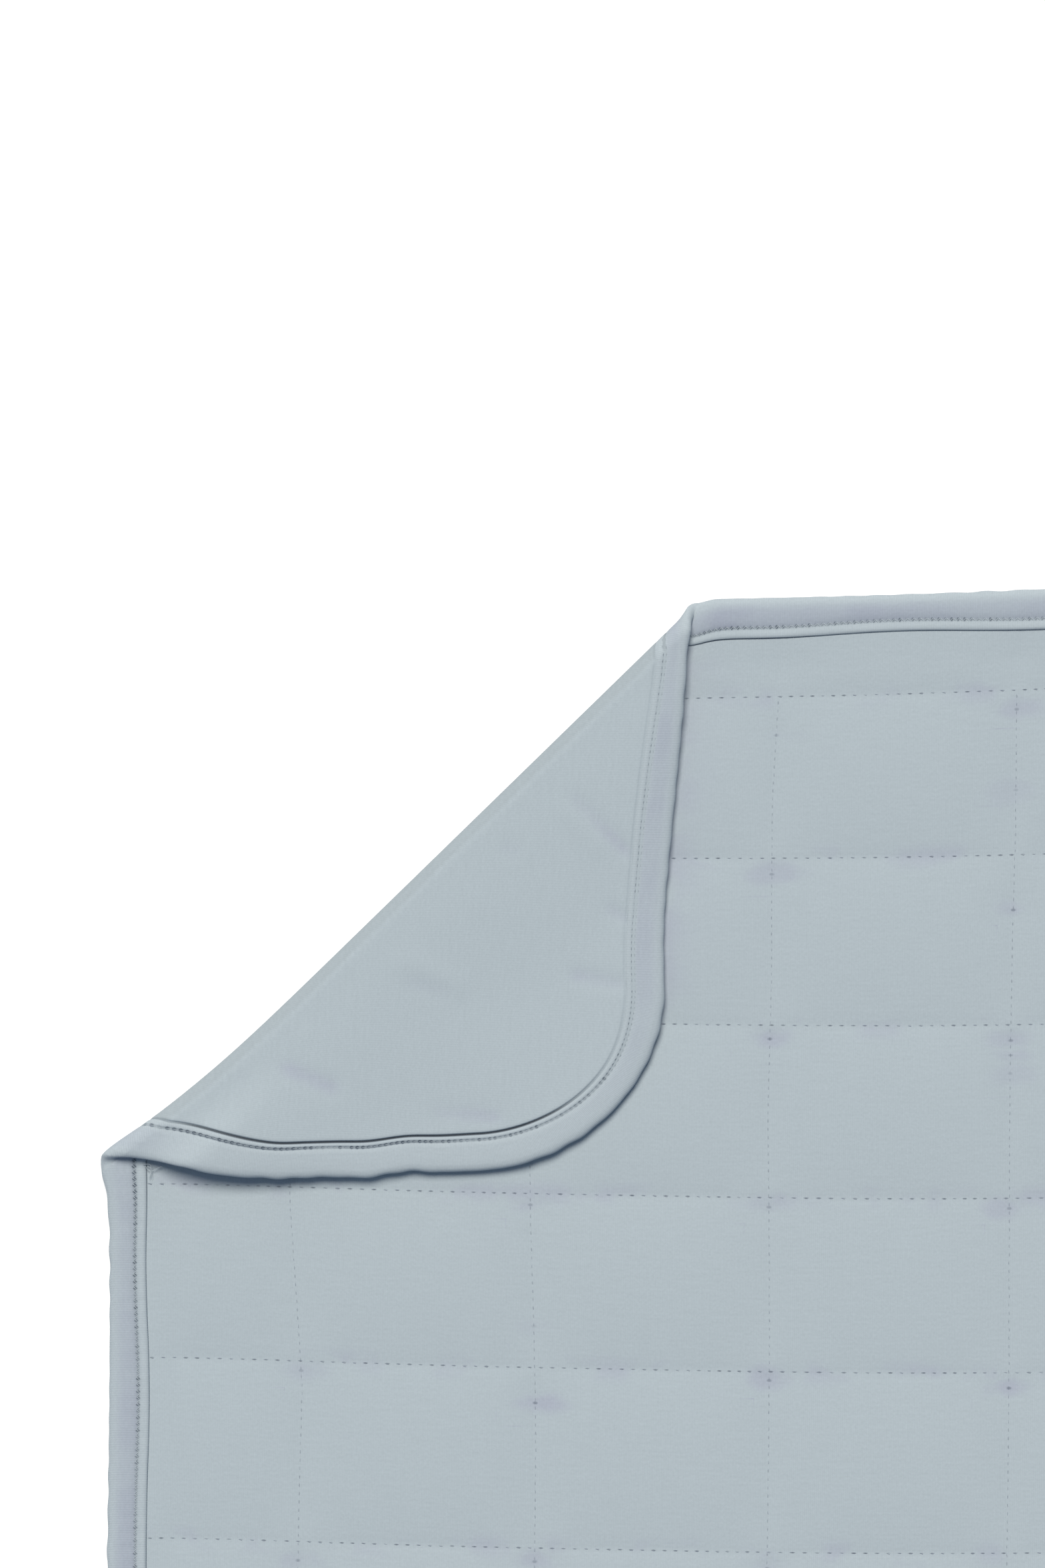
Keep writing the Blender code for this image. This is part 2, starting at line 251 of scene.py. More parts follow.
def foldOver(points):
    past, along = foldPlace(points)
    angle = np.clip(past / bendRadius, 0, math.pi)
    reach = lying["bendHeight"] - points[:, 2]
    pressed = np.maximum(reach - lying["pressFrom"], 0) * (1 - lying["pressShare"])
    reach = reach - pressed * np.sin(angle)
    behind = np.maximum(past - bendLength, 0)
    out = reach * np.sin(angle) - behind
    onFlap = smooth(behind / lying["flapRun"])
    # the flap's own lower edge stands up and slides out, and the rest settles
    inward = np.maximum(points[:, 0] - foldStart[0], 0) / lying["liftReach"]
    upward = np.maximum(points[:, 1] - foldStart[1], 0)
    swells = []
    for peak, run in ((lying["liftPeak"], lying["flapRun"]), (lying["liftTop"], lying["liftRun"])):
        swelling = (upward / peak * np.exp(1 - upward / peak)) ** lying["liftPower"]
        swells.append(swelling * np.exp(-(inward**2)) * smooth(behind / run))
    swell, rise = swells
    sag = lying["sag"] * ramp(behind, lying["sagStart"], lying["sagRun"])
    folded = np.empty_like(points)
    folded[:, :2] = foldStart + along[:, None] * alongFold + out[:, None] * outward
    folded[:, 1] -= lying["slide"] * swell
    shift = ramp(behind, lying["cornerShiftStart"], lying["cornerShiftRun"])
    folded[:, :2] += shift[:, None] * np.array(lying["cornerShift"])
    nearEdge = np.exp(-(((folded[:, 1] - foldStart[1]) / lying["dentReach"]) ** 2))
    for across, halfSize, up in lying["dents"]:
        dent = np.exp(-(((folded[:, 0] - across) / halfSize) ** 2))
        folded[:, 1] += up * dent * nearEdge * onFlap
    waves = softNoise(folded[:, 0], folded[:, 1], lying["softWaveLength"], 5)
    waves = np.maximum(waves + lying["softWaveRise"], 0) * lying["softWave"] * onFlap
    folded[:, 2] = lying["bendHeight"] - reach * np.cos(angle) + lying["lift"] * rise**2 - sag + waves
    return np.where((past > 0)[:, None], folded, points)


def bowIn(points, turned):
    # the crease is drawn in between its ends; turned says how far over a point has been folded
    past, along = foldPlace(points)
    share = np.maximum(along / foldLength, 0)
    rise = 1 - np.exp(-((share / lying["bowRise"]) ** lying["bowPower"]))
    fade = 1 - smooth((along - foldLength + lying["bowLead"]) / lying["bowFade"])
    bow = lying["bow"] * (1 - lying["bowTaper"] * share) * rise * fade
    reach = lying["bowReachUnder"] + (lying["bowReach"] - lying["bowReachUnder"]) * turned
    bow = bow * np.exp(-((past / reach) ** 2))
    moved = points.copy()
    moved[:, :2] -= bow[:, None] * outward
    offX = points[:, 0] - foldStart[0]
    offY = points[:, 1] - foldStart[1]
    away = np.hypot(offX, offY - lying["endBulgeUp"])
    moved[:, 0] -= lying["endBulge"] * np.exp(-((away / lying["endBulgeReach"]) ** 2))
    away = np.hypot(points[:, 0] - foldEnd[0], points[:, 1] - foldEnd[1] + lying["topCurlDown"])
    moved[:, 0] += lying["topCurl"] * np.exp(-((away / lying["topCurlReach"]) ** 2)) * turned**2
    for place, heading, reach in lying["pleats"]:
        offset = points[:, :2] - np.array(place)
        pleats = np.sin(2 * math.pi * (offset @ np.array(heading)) / lying["pleatLength"])
        away = np.hypot(offset[:, 0], offset[:, 1])
        moved[:, 2] += lying["pleatHeight"] * pleats * np.exp(-((away / reach) ** 2))
    moved[:, 2] = np.maximum(moved[:, 2], np.minimum(points[:, 2], 0))
    return moved


def layDown(x, y, height):
    # flat place and height to where the cloth really lies
    pulledX, pulledY = pullOutOfSquare(x, y)
    pulled = np.stack([pulledX, pulledY, height], axis=1)
    past, _ = foldPlace(pulled)
    return bowIn(foldOver(pulled), smooth(past / bendLength))


def layFront(x, y, height):
    # the same for the quilted front, whose column seams stray
    return layDown(x + seamStray(x, y), y, height)


def edgePath(count):
    # points counter-clockwise along the edge from the middle of its lower side, and inward normals
    radius = blanket["cornerRadius"]
    across = halfWidth - radius
    along = halfLength - radius
    arc = radius * math.pi / 2
    legs = [across, arc, 2 * along, arc, 2 * across, arc, 2 * along, arc, across]
    total = sum(legs)
    starts = np.concatenate([[0], np.cumsum(legs)])
    centres = [(across, -along), (across, along), (-across, along), (-across, -along)]
    lines = [
        ((0, -halfLength), (1, 0), (0, 1)),
        ((halfWidth, -along), (0, 1), (-1, 0)),
        ((across, halfLength), (-1, 0), (0, -1)),
        ((-halfWidth, along), (0, -1), (1, 0)),
        ((-across, -halfLength), (1, 0), (0, 1)),
    ]
    place = np.arange(count) * total / count
    points = np.zeros((count, 2))
    normals = np.zeros((count, 2))
    for leg in range(len(legs)):
        here = (place >= starts[leg]) & (place < starts[leg + 1])
        run = place[here] - starts[leg]
        if leg % 2 == 0:
            start, heading, normal = (np.array(v, dtype=float) for v in lines[leg // 2])
            points[here] = start + run[:, None] * heading
            normals[here] = normal
        else:
            corner = leg // 2
            angle = math.pi / 2 * (corner - 1) + run / radius
            away = np.stack([np.cos(angle), np.sin(angle)], axis=1)
            points[here] = np.array(centres[corner]) + radius * away
            normals[here] = -away
    return place, points, normals, total


# The solids are centred over the origin, so the cloth made here is moved by as much
edgePlace, edgePoints, edgeNormals, edgeTotal = edgePath(4000)
laidEdge = layDown(edgePoints[:, 0], edgePoints[:, 1], np.full(4000, blanket["edgeThickness"] / 2))
bindingLow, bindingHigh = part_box("binding")
centreShift = np.zeros(3)
for axis in (0, 1):
    ownMiddle = (laidEdge[:, axis].min() + laidEdge[:, axis].max()) / 2
    centreShift[axis] = (bindingLow[axis] + bindingHigh[axis]) / 2 - ownMiddle
print("cloth lies", np.round(centreShift * 1000, 3), "mm from its flat drawing")


def mathNode(tree, operation, *sources):
    node = tree.nodes.new("ShaderNodeMath")
    node.operation = operation
    for socket, source in zip(node.inputs, sources):
        if isinstance(source, (int, float)):
            socket.default_value = source
        else:
            tree.links.new(source, socket)
    return node.outputs[0]


def newGroup(name, inputs, outputs):
    group = bpy.data.node_groups.new(name, "ShaderNodeTree")
    for label, kind in inputs:
        group.interface.new_socket(name=label, in_out="INPUT", socket_type=kind)
    for label, kind in outputs:
        group.interface.new_socket(name=label, in_out="OUTPUT", socket_type=kind)
    return group, group.nodes.new("NodeGroupInput").outputs, group.nodes.new("NodeGroupOutput").inputs


def makeKnitGroup():
    # fine knit: long wales with small loops along them, as a height from 0 to 1
    group, given, result = newGroup(
        "fineKnit",
        [("Across", "NodeSocketFloat"), ("Along", "NodeSocketFloat"), ("Pitch", "NodeSocketFloat")],
        [("Height", "NodeSocketFloat")],
    )
    wales = mathNode(group, "DIVIDE", given["Across"], given["Pitch"])
    loops = mathNode(group, "DIVIDE", given["Along"], given["Pitch"])
    turn = mathNode(group, "MULTIPLY", wales, 2 * math.pi)
    wale = mathNode(group, "COSINE", turn)
    slant = mathNode(group, "MULTIPLY", mathNode(group, "ABSOLUTE", mathNode(group, "SINE", turn)), 1.3)
    loopTurn = mathNode(group, "MULTIPLY", loops, 2.6 * math.pi)
    loop = mathNode(group, "COSINE", mathNode(group, "ADD", loopTurn, slant))
    both = mathNode(group, "MULTIPLY_ADD", wale, 0.36, mathNode(group, "MULTIPLY", loop, 0.14))
    group.links.new(mathNode(group, "ADD", both, 0.5), result["Height"])
    return group


def makeHoleGroup():
    # needle holes along a seam, each its own depth, as a mask from 0 to 1 for the bump and the painted
    # shade
    group, given, result = newGroup(
        "needleHoles",
        [
            ("Along", "NodeSocketFloat"),
            ("Across", "NodeSocketFloat"),
            ("Key", "NodeSocketFloat"),
            ("Pitch", "NodeSocketFloat"),
            ("Length", "NodeSocketFloat"),
            ("Width", "NodeSocketFloat"),
        ],
        [("Mask", "NodeSocketFloat")],
    )
    count = mathNode(group, "DIVIDE", given["Along"], given["Pitch"])
    cell = mathNode(group, "FLOOR", mathNode(group, "ADD", count, 0.5))
    beside = mathNode(group, "MULTIPLY", mathNode(group, "SUBTRACT", count, cell), given["Pitch"])
    spot = group.nodes.new("ShaderNodeCombineXYZ")
    group.links.new(cell, spot.inputs["X"])
    group.links.new(given["Key"], spot.inputs["Y"])
    chance = group.nodes.new("ShaderNodeTexWhiteNoise")
    chance.noise_dimensions = "2D"
    group.links.new(spot.outputs["Vector"], chance.inputs["Vector"])
    depth = mathNode(group, "MULTIPLY_ADD", chance.outputs["Value"], 0.85, 0.15)
    lengthShare = mathNode(group, "DIVIDE", beside, given["Length"])
    widthShare = mathNode(group, "DIVIDE", given["Across"], given["Width"])
    widthSquare = mathNode(group, "MULTIPLY", widthShare, widthShare)
    squares = mathNode(group, "MULTIPLY_ADD", lengthShare, lengthShare, widthSquare)
    reach = mathNode(group, "SQRT", squares)
    fade = group.nodes.new("ShaderNodeMapRange")
    fade.interpolation_type = "SMOOTHSTEP"
    fade.inputs["From Min"].default_value = 1.0
    fade.inputs["From Max"].default_value = 0.25
    group.links.new(reach, fade.inputs["Value"])
    group.links.new(mathNode(group, "MULTIPLY", fade.outputs["Result"], depth), result["Mask"])
    return group


def makeMottleGroup():
    # soft patches that make the painted shade uneven, fibre grain and fine streaks in the cloth, all
    # from 0 to 1
    group, given, result = newGroup(
        "clothMottle",
        [("Place", "NodeSocketVector")],
        [("Patches", "NodeSocketFloat"), ("Grain", "NodeSocketFloat"), ("Streaks", "NodeSocketFloat")],
    )
    layers = (
        ("Patches", 48.0, 3.0, (1, 1, 1)),
        ("Grain", 1000.0, 3.0, (1, 1, 1)),
        ("Streaks", 100.0, 2.0, (1, 7, 1)),
    )
    for label, scale, detail, stretch in layers:
        squeeze = group.nodes.new("ShaderNodeMapping")
        squeeze.inputs["Scale"].default_value = stretch
        group.links.new(given["Place"], squeeze.inputs["Vector"])
        noise = group.nodes.new("ShaderNodeTexNoise")
        noise.inputs["Scale"].default_value = scale
        noise.inputs["Detail"].default_value = detail
        group.links.new(squeeze.outputs["Vector"], noise.inputs["Vector"])
        group.links.new(noise.outputs["Fac"], result[label])
    return group


knitGroup = makeKnitGroup()
holeGroup = makeHoleGroup()
mottleGroup = makeMottleGroup()


def useGroup(tree, group, values):
    node = tree.nodes.new("ShaderNodeGroup")
    node.node_tree = group
    for label, source in values.items():
        if isinstance(source, (int, float)):
            node.inputs[label].default_value = source
        else:
            tree.links.new(source, node.inputs[label])
    return node.outputs


def mixColours(tree, share, first, second, blend="MIX"):
    node = tree.nodes.new("ShaderNodeMix")
    node.data_type = "RGBA"
    node.blend_type = blend
    for socket, source in ((node.inputs[0], share), (node.inputs[6], first), (node.inputs[7], second)):
        if isinstance(source, (tuple, float)):
            socket.default_value = source
        else:
            tree.links.new(source, socket)
    return node.outputs[2]


def readAttribute(tree, name):
    node = tree.nodes.new("ShaderNodeAttribute")
    node.attribute_name = name
    split = tree.nodes.new("ShaderNodeSeparateXYZ")
    tree.links.new(node.outputs["Vector"], split.inputs["Vector"])
    return node.outputs["Vector"], split.outputs["X"], split.outputs["Y"], split.outputs["Z"]


clothLook = {
    "colour": (0.440, 0.502, 0.542, 1.0),
    "shadeTint": (0.395, 0.422, 0.512, 1.0),  # painted cooler shade in hollows, beside seams and creases, and beside the folded corner
    "bindingColour": (0.445, 0.505, 0.546, 1.0),
    # painted cooler shade of the binding, between its edge and its stitches
    "bindingShadeTint": (0.376, 0.412, 0.492, 1.0),
    "hole": (0.055, 0.078, 0.115, 1.0),  # painted shade of a needle hole, also painted in crevices, under the lip and in dimples
    "thread": (0.470, 0.530, 0.570, 1.0),
    "sunkThreadShade": (0.150, 0.190, 0.250, 1.0),  # painted shade of the quilting stitches, which lie sunk in the cloth
    "shadow": (0.0, 0.0, 0.0, 1.0),
    "roughness": 0.93,
    "sheen": 0.06,
    "shine": 0.20,
    "walePitch": 0.00065,
    "waleDepth": 0.000022,
    "grainDepth": 0.000016,
    "ribDepth": 0.000042,
    "holeDepth": 0.00020,
    "hazeAcross": 0.0078,  # the painted shade round a dimple
    "hazeAlong": 0.0034,
    "coreAcross": 0.0013,  # and its painted dark middle
    "coreAlong": 0.0008,
    # how far the painted shade beside a row reaches
    "rowHaze": 0.0070,
    "twistScale": 2600.0,
    "twistDepth": 0.00003,
}

# How strong each painted shade in the cloth is, and its grain and streaks; a pair says where it starts
# and ends, or stretches the patches
shades = {
    "dimple": 0.70,
    "dimpleRagged": (4.6, -2.3),
    "dimpleFade": (1.5, 0.0),
    "core": 0.48,
    "coreFade": (1.0, 0.3),
    "row": 0.45,
    "rowPatches": (0.50, 0.66),
    "flap": 0.60,
    "flapPatches": (0.30, 0.64),
    "rowHoles": 0.54,
    "columnHoles": 0.21,
    "creaseRagged": (1.6, -0.8),
    "creaseFade": (0.0, 1.2),
    "underLip": 0.90,
    "bent": 0.13,
    "bellyStart": (0.0010, 0.0060),  # metres in from the binding's edge
    "bellyEnd": (0.0112, 0.0096),
    "bellyPatches": (0.42, 0.64),
    "bellyShare": (0.35, 0.65),
    "crevice": 0.97,
    "grooveHoles": (0.35, 0.63),  # more with the groove's own shade, and the least
    "grain": (0.17, 0.915),
    "streaks": (0.07, 0.965),
    "wales": 0.05,
    "ribs": 0.09,
}


def clothShader(name):
    material = bpy.data.materials.new(name)
    material.use_nodes = True
    shader = material.node_tree.nodes["Principled BSDF"]
    shader.inputs["Roughness"].default_value = clothLook["roughness"]
    shader.inputs["Specular IOR Level"].default_value = clothLook["shine"]
    shader.inputs["Sheen Weight"].default_value = clothLook["sheen"]
    shader.inputs["Sheen Roughness"].default_value = 0.5
    return material, material.node_tree, shader


def finishShader(tree, shader, colour, height):
    tree.links.new(colour, shader.inputs["Base Color"])
    bump = tree.nodes.new("ShaderNodeBump")
    bump.inputs["Distance"].default_value = 1.0
    tree.links.new(height, bump.inputs["Height"])
    tree.links.new(bump.outputs["Normal"], shader.inputs["Normal"])


def softStep(tree, source, start, end):
    # 0 before start and 1 past end, or the other way round
    node = tree.nodes.new("ShaderNodeMapRange")
    node.interpolation_type = "SMOOTHSTEP"
    node.inputs["From Min"].default_value = start
    node.inputs["From Max"].default_value = end
    tree.links.new(source, node.inputs["Value"])
    return node.outputs["Result"]


def ovalReach(tree, across, along, halfAcross, halfAlong):
    # 0 in the middle of an oval and 1 at its rim
    shares = (mathNode(tree, "DIVIDE", across, halfAcross), mathNode(tree, "DIVIDE", along, halfAlong))
    squares = [product(tree, share, share) for share in shares]
    return mathNode(tree, "SQRT", mathNode(tree, "ADD", *squares))


def product(tree, first, *others):
    for other in others:
        first = mathNode(tree, "MULTIPLY", first, other)
    return first


def knitHeight(tree, across, along):
    values = {"Across": across, "Along": along, "Pitch": clothLook["walePitch"]}
    return useGroup(tree, knitGroup, values)["Height"]


def needleHoles(tree, along, across, key, sewing):
    values = {
        "Along": along,
        "Across": across,
        "Key": key,
        "Pitch": sewing["pitch"],
        "Length": sewing["holeLength"],
        "Width": sewing["holeWidth"],
    }
    return useGroup(tree, holeGroup, values)["Mask"]


# paints shade over a colour where the mask is 1, towards a dark colour that stands for shade
def paintShade(tree, colour, mask, strength, towards="hole"):
    return mixColours(tree, product(tree, mask, strength), colour, clothLook[towards])


def clothColourAndShade(tree, mottle, haze, base, shadeTint, knit, knitShade):
    # painted cooler shade where haze is 1, with the fibre grain and fine streaks, and painted shade
    # between the wales
    colour = mixColours(tree, haze, clothLook[base], clothLook[shadeTint])
    grain = mathNode(tree, "MULTIPLY_ADD", mottle["Grain"], *shades["grain"])
    streaks = mathNode(tree, "MULTIPLY_ADD", mottle["Streaks"], *shades["streaks"])
    shade = mathNode(tree, "MULTIPLY_ADD", knit, knitShade, 1 - knitShade / 2)
    light = product(tree, grain, streaks, shade)
    grey = tree.nodes.new("ShaderNodeCombineColor")
    for label in ("Red", "Green", "Blue"):
        tree.links.new(light, grey.inputs[label])
    return mixColours(tree, 1.0, colour, grey.outputs["Color"], "MULTIPLY")


def surfaceHeight(tree, *pairs):
    # heights from 0 to 1, each with its depth in metres, added up
    total = 0.0
    for source, depth in pairs:
        total = mathNode(tree, "ADD", product(tree, source, depth), total)
    return total


def makeQuiltedMaterial():
    material, tree, shader = clothShader("quiltedJersey")
    place, flatX, flatY, _ = readAttribute(tree, "flat")
    _, besideColumn, besideRow, nearFlap = readAttribute(tree, "seams")
    _, besideDimple, alongDimple, strength = readAttribute(tree, "dimple")
    knit = knitHeight(tree, flatX, flatY)
    rowKey = mathNode(tree, "ROUND", mathNode(tree, "DIVIDE", flatY, quilting["rowPitch"]))
    rowHoles = needleHoles(tree, flatX, besideRow, rowKey, rowSewing)
    columnKey = mathNode(tree, "ROUND", mathNode(tree, "DIVIDE", flatX, quilting["columnPitch"]))
    columnHoles = needleHoles(tree, flatY, besideColumn, columnKey, columnSewing)
    mottle = useGroup(tree, mottleGroup, {"Place": place})
    patches = mottle["Patches"]
    # painted cooler shade round each dimple, ragged at its rim
    ragged = mathNode(tree, "MULTIPLY_ADD", patches, *shades["dimpleRagged"])
    rim = ovalReach(tree, besideDimple, alongDimple, clothLook["hazeAcross"], clothLook["hazeAlong"])
    dimpled = softStep(tree, mathNode(tree, "ADD", rim, ragged), *shades["dimpleFade"])
    haze = product(tree, dimpled, strength, shades["dimple"])
    # painted cooler shade beside the rows, in patches
    nearRow = softStep(tree, besideRow, clothLook["rowHaze"], 0.0)
    rowHaze = product(tree, softStep(tree, patches, *shades["rowPatches"]), nearRow, shades["row"])
    haze = mathNode(tree, "MAXIMUM", haze, rowHaze)
    # painted shadow beside the right edge of the folded corner
    flapHaze = product(tree, nearFlap, softStep(tree, patches, *shades["flapPatches"]), shades["flap"])
    haze = mathNode(tree, "MAXIMUM", haze, flapHaze)
    # painted dark shade in the middle of each dimple
    rim = ovalReach(tree, besideDimple, alongDimple, clothLook["coreAcross"], clothLook["coreAlong"])
    core = product(tree, softStep(tree, rim, *shades["coreFade"]), strength)
    colour = clothColourAndShade(tree, mottle, haze, "colour", "shadeTint", knit, shades["wales"])
    colour = paintShade(tree, colour, core, shades["core"])
    # painted shade in the needle holes of the quilting
    colour = paintShade(tree, colour, rowHoles, shades["rowHoles"])
    colour = paintShade(tree, colour, columnHoles, shades["columnHoles"])
    height = surfaceHeight(
        tree,
        (knit, clothLook["waleDepth"]),
        (mottle["Grain"], clothLook["grainDepth"]),
        (rowHoles, -clothLook["holeDepth"]),
        (columnHoles, -clothLook["holeDepth"] / 2),
    )
    finishShader(tree, shader, colour, height)
    return material


def makeBackMaterial():
    material, tree, shader = clothShader("plainJersey")
    place, flatX, flatY, _ = readAttribute(tree, "flat")
    _, creased, underLip, bent = readAttribute(tree, "creased")
    knit = knitHeight(tree, flatX, flatY)
    mottle = useGroup(tree, mottleGroup, {"Place": place})
    # painted cooler shade along the creases of the folded corner
    ragged = mathNode(tree, "MULTIPLY_ADD", mottle["Patches"], *shades["creaseRagged"])
    haze = mathNode(tree, "ADD", creased, product(tree, ragged, creased))
    haze = softStep(tree, haze, *shades["creaseFade"])
    colour = clothColourAndShade(tree, mottle, haze, "colour", "shadeTint", knit, shades["wales"])
    # painted shade under the binding's lip and on the bend
    colour = paintShade(tree, colour, underLip, shades["underLip"])
    colour = paintShade(tree, colour, bent, shades["bent"], "shadow")
    height = surfaceHeight(
        tree, (knit, clothLook["waleDepth"]), (mottle["Grain"], clothLook["grainDepth"])
    )
    finishShader(tree, shader, colour, height)
    return material


def makeBindingMaterial():
    material, tree, shader = clothShader("ribbedBinding")
    place, along, across, side = readAttribute(tree, "strip")
    _, crevice, cooler, groove = readAttribute(tree, "crevice")
    knit = knitHeight(tree, along, across)
    onFront = mathNode(tree, "GREATER_THAN", side, 0.0)
    onBack = mathNode(tree, "SUBTRACT", 1.0, onFront)
    holes = []
    for sewing, wanted in ((coverSewing, onFront), (backSewing, onBack)):
        besideSeam = mathNode(tree, "SUBTRACT", across, sewing["inset"])
        holes.append(product(tree, needleHoles(tree, along, besideSeam, 1.0, sewing), wanted))
    allHoles = mathNode(tree, "MAXIMUM", *holes)
    mottle = useGroup(tree, mottleGroup, {"Place": place})
    # painted cooler shade between the binding's edge and its stitches, in patches
    onBelly = [softStep(tree, across, *shades[end]) for end in ("bellyStart", "bellyEnd")]
    patches = softStep(tree, mottle["Patches"], *shades["bellyPatches"])
    patches = mathNode(tree, "MULTIPLY_ADD", patches, *shades["bellyShare"])
    haze = product(tree, *onBelly, cooler, patches)
    colour = clothColourAndShade(tree, mottle, haze, "bindingColour", "bindingShadeTint", knit, shades["ribs"])
    # painted shade under the lip and in the stitch groove
    colour = paintShade(tree, colour, crevice, shades["crevice"])
    # painted shade in the binding's needle holes, darker where its groove is
    depth = mathNode(tree, "MULTIPLY_ADD", groove, *shades["grooveHoles"])
    colour = paintShade(tree, colour, allHoles, depth)
    height = surfaceHeight(
        tree,
        (knit, clothLook["ribDepth"]),
        (mottle["Grain"], clothLook["grainDepth"]),
        (allHoles, -clothLook["holeDepth"]),
    )
    finishShader(tree, shader, colour, height)
    return material


def makeThreadMaterial(name, dark, light):
    material, tree, shader = clothShader(name)
    place = tree.nodes.new("ShaderNodeTexCoord")
    twist = tree.nodes.new("ShaderNodeTexNoise")
    twist.inputs["Scale"].default_value = clothLook["twistScale"]
    tree.links.new(place.outputs["Object"], twist.inputs["Vector"])
    colour = mixColours(tree, twist.outputs["Fac"], clothLook[dark], clothLook[light])
    finishShader(tree, shader, colour, product(tree, twist.outputs["Fac"], clothLook["twistDepth"]))
    return material


# Sewing, in metres: how long the stitches are and how thick their thread
rowSewing = {
    "pitch": 0.00415,
    "stitch": 0.00135,  # the short part that shows on the front
    "slant": 0.00013,
    "radius": 0.00012,
    "crest": 0.00002,
    "slack": 0.00016,
    "holeLength": 0.00120,
    "holeWidth": 0.00038,
}
columnSewing = {
    "pitch": 0.00310,
    "stitch": 0.00125,
    "slant": 0.00004,
    "radius": 0.00007,
    "crest": 0.00001,
    "slack": 0.00014,
    "holeLength": 0.00105,
    "holeWidth": 0.00034,
}
coverSewing = {
    "inset": 0.0104,
    "width": 0.0013,
    "pitch": 0.00240,
    "radius": 0.00013,
    "crest": 0.00012,
    "holeLength": 0.00070,
    "holeWidth": 0.00105,
}
backSewing = {
    "inset": 0.0114,
    "pitch": 0.00245,
    "radius": 0.00009,
    "crest": 0.00004,
    "holeLength": 0.00105,
    "holeWidth": 0.00090,
}

quiltedMaterial = makeQuiltedMaterial()
backMaterial = makeBackMaterial()
bindingMaterial = makeBindingMaterial()
threadMaterial = makeThreadMaterial("sewingThread", "bindingColour", "thread")
# the quilting stitches are painted dark, as the shade of the hollows they are sunk in
sunkMaterial = makeThreadMaterial("shadedQuiltingThread", "sunkThreadShade", "shadeTint")
print("materials made")


def gradedOffsets(length, spacing):
    # distances from a seam, close together beside it and wider further off
    offsets = [0.0]
    step = spacing["first"]
    while offsets[-1] < length:
        offsets.append(offsets[-1] + step)
        step = min(step * spacing["growth"], spacing["largest"])
    return np.array(offsets) * length / offsets[-1]


def seamLines(seams, low, high, spacing):
    ordered = sorted(seams)
    lines = [ordered[0] - gradedOffsets(ordered[0] - low, spacing)]
    lines.append(ordered[-1] + gradedOffsets(high - ordered[-1], spacing))
    for first, second in zip(ordered, ordered[1:]):
        offsets = gradedOffsets((second - first) / 2, spacing)
        lines += [first + offsets, second - offsets]
    return np.unique(np.round(np.concatenate(lines), 6))


cornerCuts = 12
cutMargin = 0.012  # faces within this of a cut are split


def flatSheet(linesX, linesY, inset):
    # a grid with its lines where they are wanted, and corners trimmed round
    bm = bmesh.new()
    across = len(linesX) - 1
    along = len(linesY) - 1
    bmesh.ops.create_grid(bm, x_segments=across, y_segments=along, size=1)
    for vert in bm.verts:
        column = round((vert.co.x + 1) / 2 * across)
        row = round((vert.co.y + 1) / 2 * along)
        vert.co = (linesX[column], linesY[row], 0)
    radius = blanket["cornerRadius"] - inset
    cornerX = halfWidth - blanket["cornerRadius"]
    cornerY = halfLength - blanket["cornerRadius"]
    for signX, signY in ((1, 1), (-1, 1), (-1, -1), (1, -1)):
        fromX = cornerX - cutMargin
        fromY = cornerY - cutMargin
        faces = [
            face
            for face in bm.faces
            if all(vert.co.x * signX > fromX and vert.co.y * signY > fromY for vert in face.verts)
        ]
        geom = withEdges(faces)
        for step in range(cornerCuts):
            angle = math.radians(90) * (step + 0.5) / cornerCuts
            normal = Vector((signX * math.cos(angle), signY * math.sin(angle), 0))
            place = Vector((signX * cornerX, signY * cornerY, 0)) + normal * radius
            cut = bmesh.ops.bisect_plane(
                bm, geom=geom, plane_co=place, plane_no=normal, dist=0.00002, clear_outer=True
            )
            geom = [item for item in cut["geom"] if item.is_valid]
    return bm


def withEdges(faces):
    edges = dict.fromkeys(edge for face in faces for edge in face.edges)
    verts = dict.fromkeys(vert for face in faces for vert in face.verts)
    return [*verts, *edges, *faces]


def rememberFlat(bm):
    # keeps each point's flat place while the drawing is pulled and cut
    layer = bm.verts.layers.float_vector.new("flat")
    verts = list(bm.verts)
    flat = np.array([vert.co[:] for vert in verts])
    pulledX, pulledY = pullOutOfSquare(flat[:, 0], flat[:, 1])
    for vert, x, y in zip(verts, pulledX, pulledY):
        vert[layer] = vert.co.copy()
        vert.co.x = x
        vert.co.y = y
    return layer


def cutAlongFold(bm, steps=10):
    near = []
    for face in bm.faces:
        centre = face.calc_center_median()
        past = (centre.x - foldStart[0]) * outward[0] + (centre.y - foldStart[1]) * outward[1]
        if -cutMargin < past < bendLength + cutMargin:
            near.append(face)
    geom = withEdges(near)
    normal = Vector((*outward, 0))
    for step in range(steps + 1):
        place = Vector((*foldStart, 0)) + normal * (bendLength * step / steps)
        cut = bmesh.ops.bisect_plane(bm, geom=geom, plane_co=place, plane_no=normal, dist=0.00002)
        geom = [item for item in cut["geom"] if item.is_valid]


def slabFromSheet(bm, layer):
    # the sheet gets an upper side of its own; the third number of a flat place says which side it is
    made = bmesh.ops.extrude_face_region(bm, geom=bm.faces[:])
    for item in made["geom"]:
        if isinstance(item, bmesh.types.BMVert):
            item[layer] = Vector((item[layer].x, item[layer].y, 1.0))
            item.co.z = 0.001
    bmesh.ops.recalc_face_normals(bm, faces=bm.faces[:])


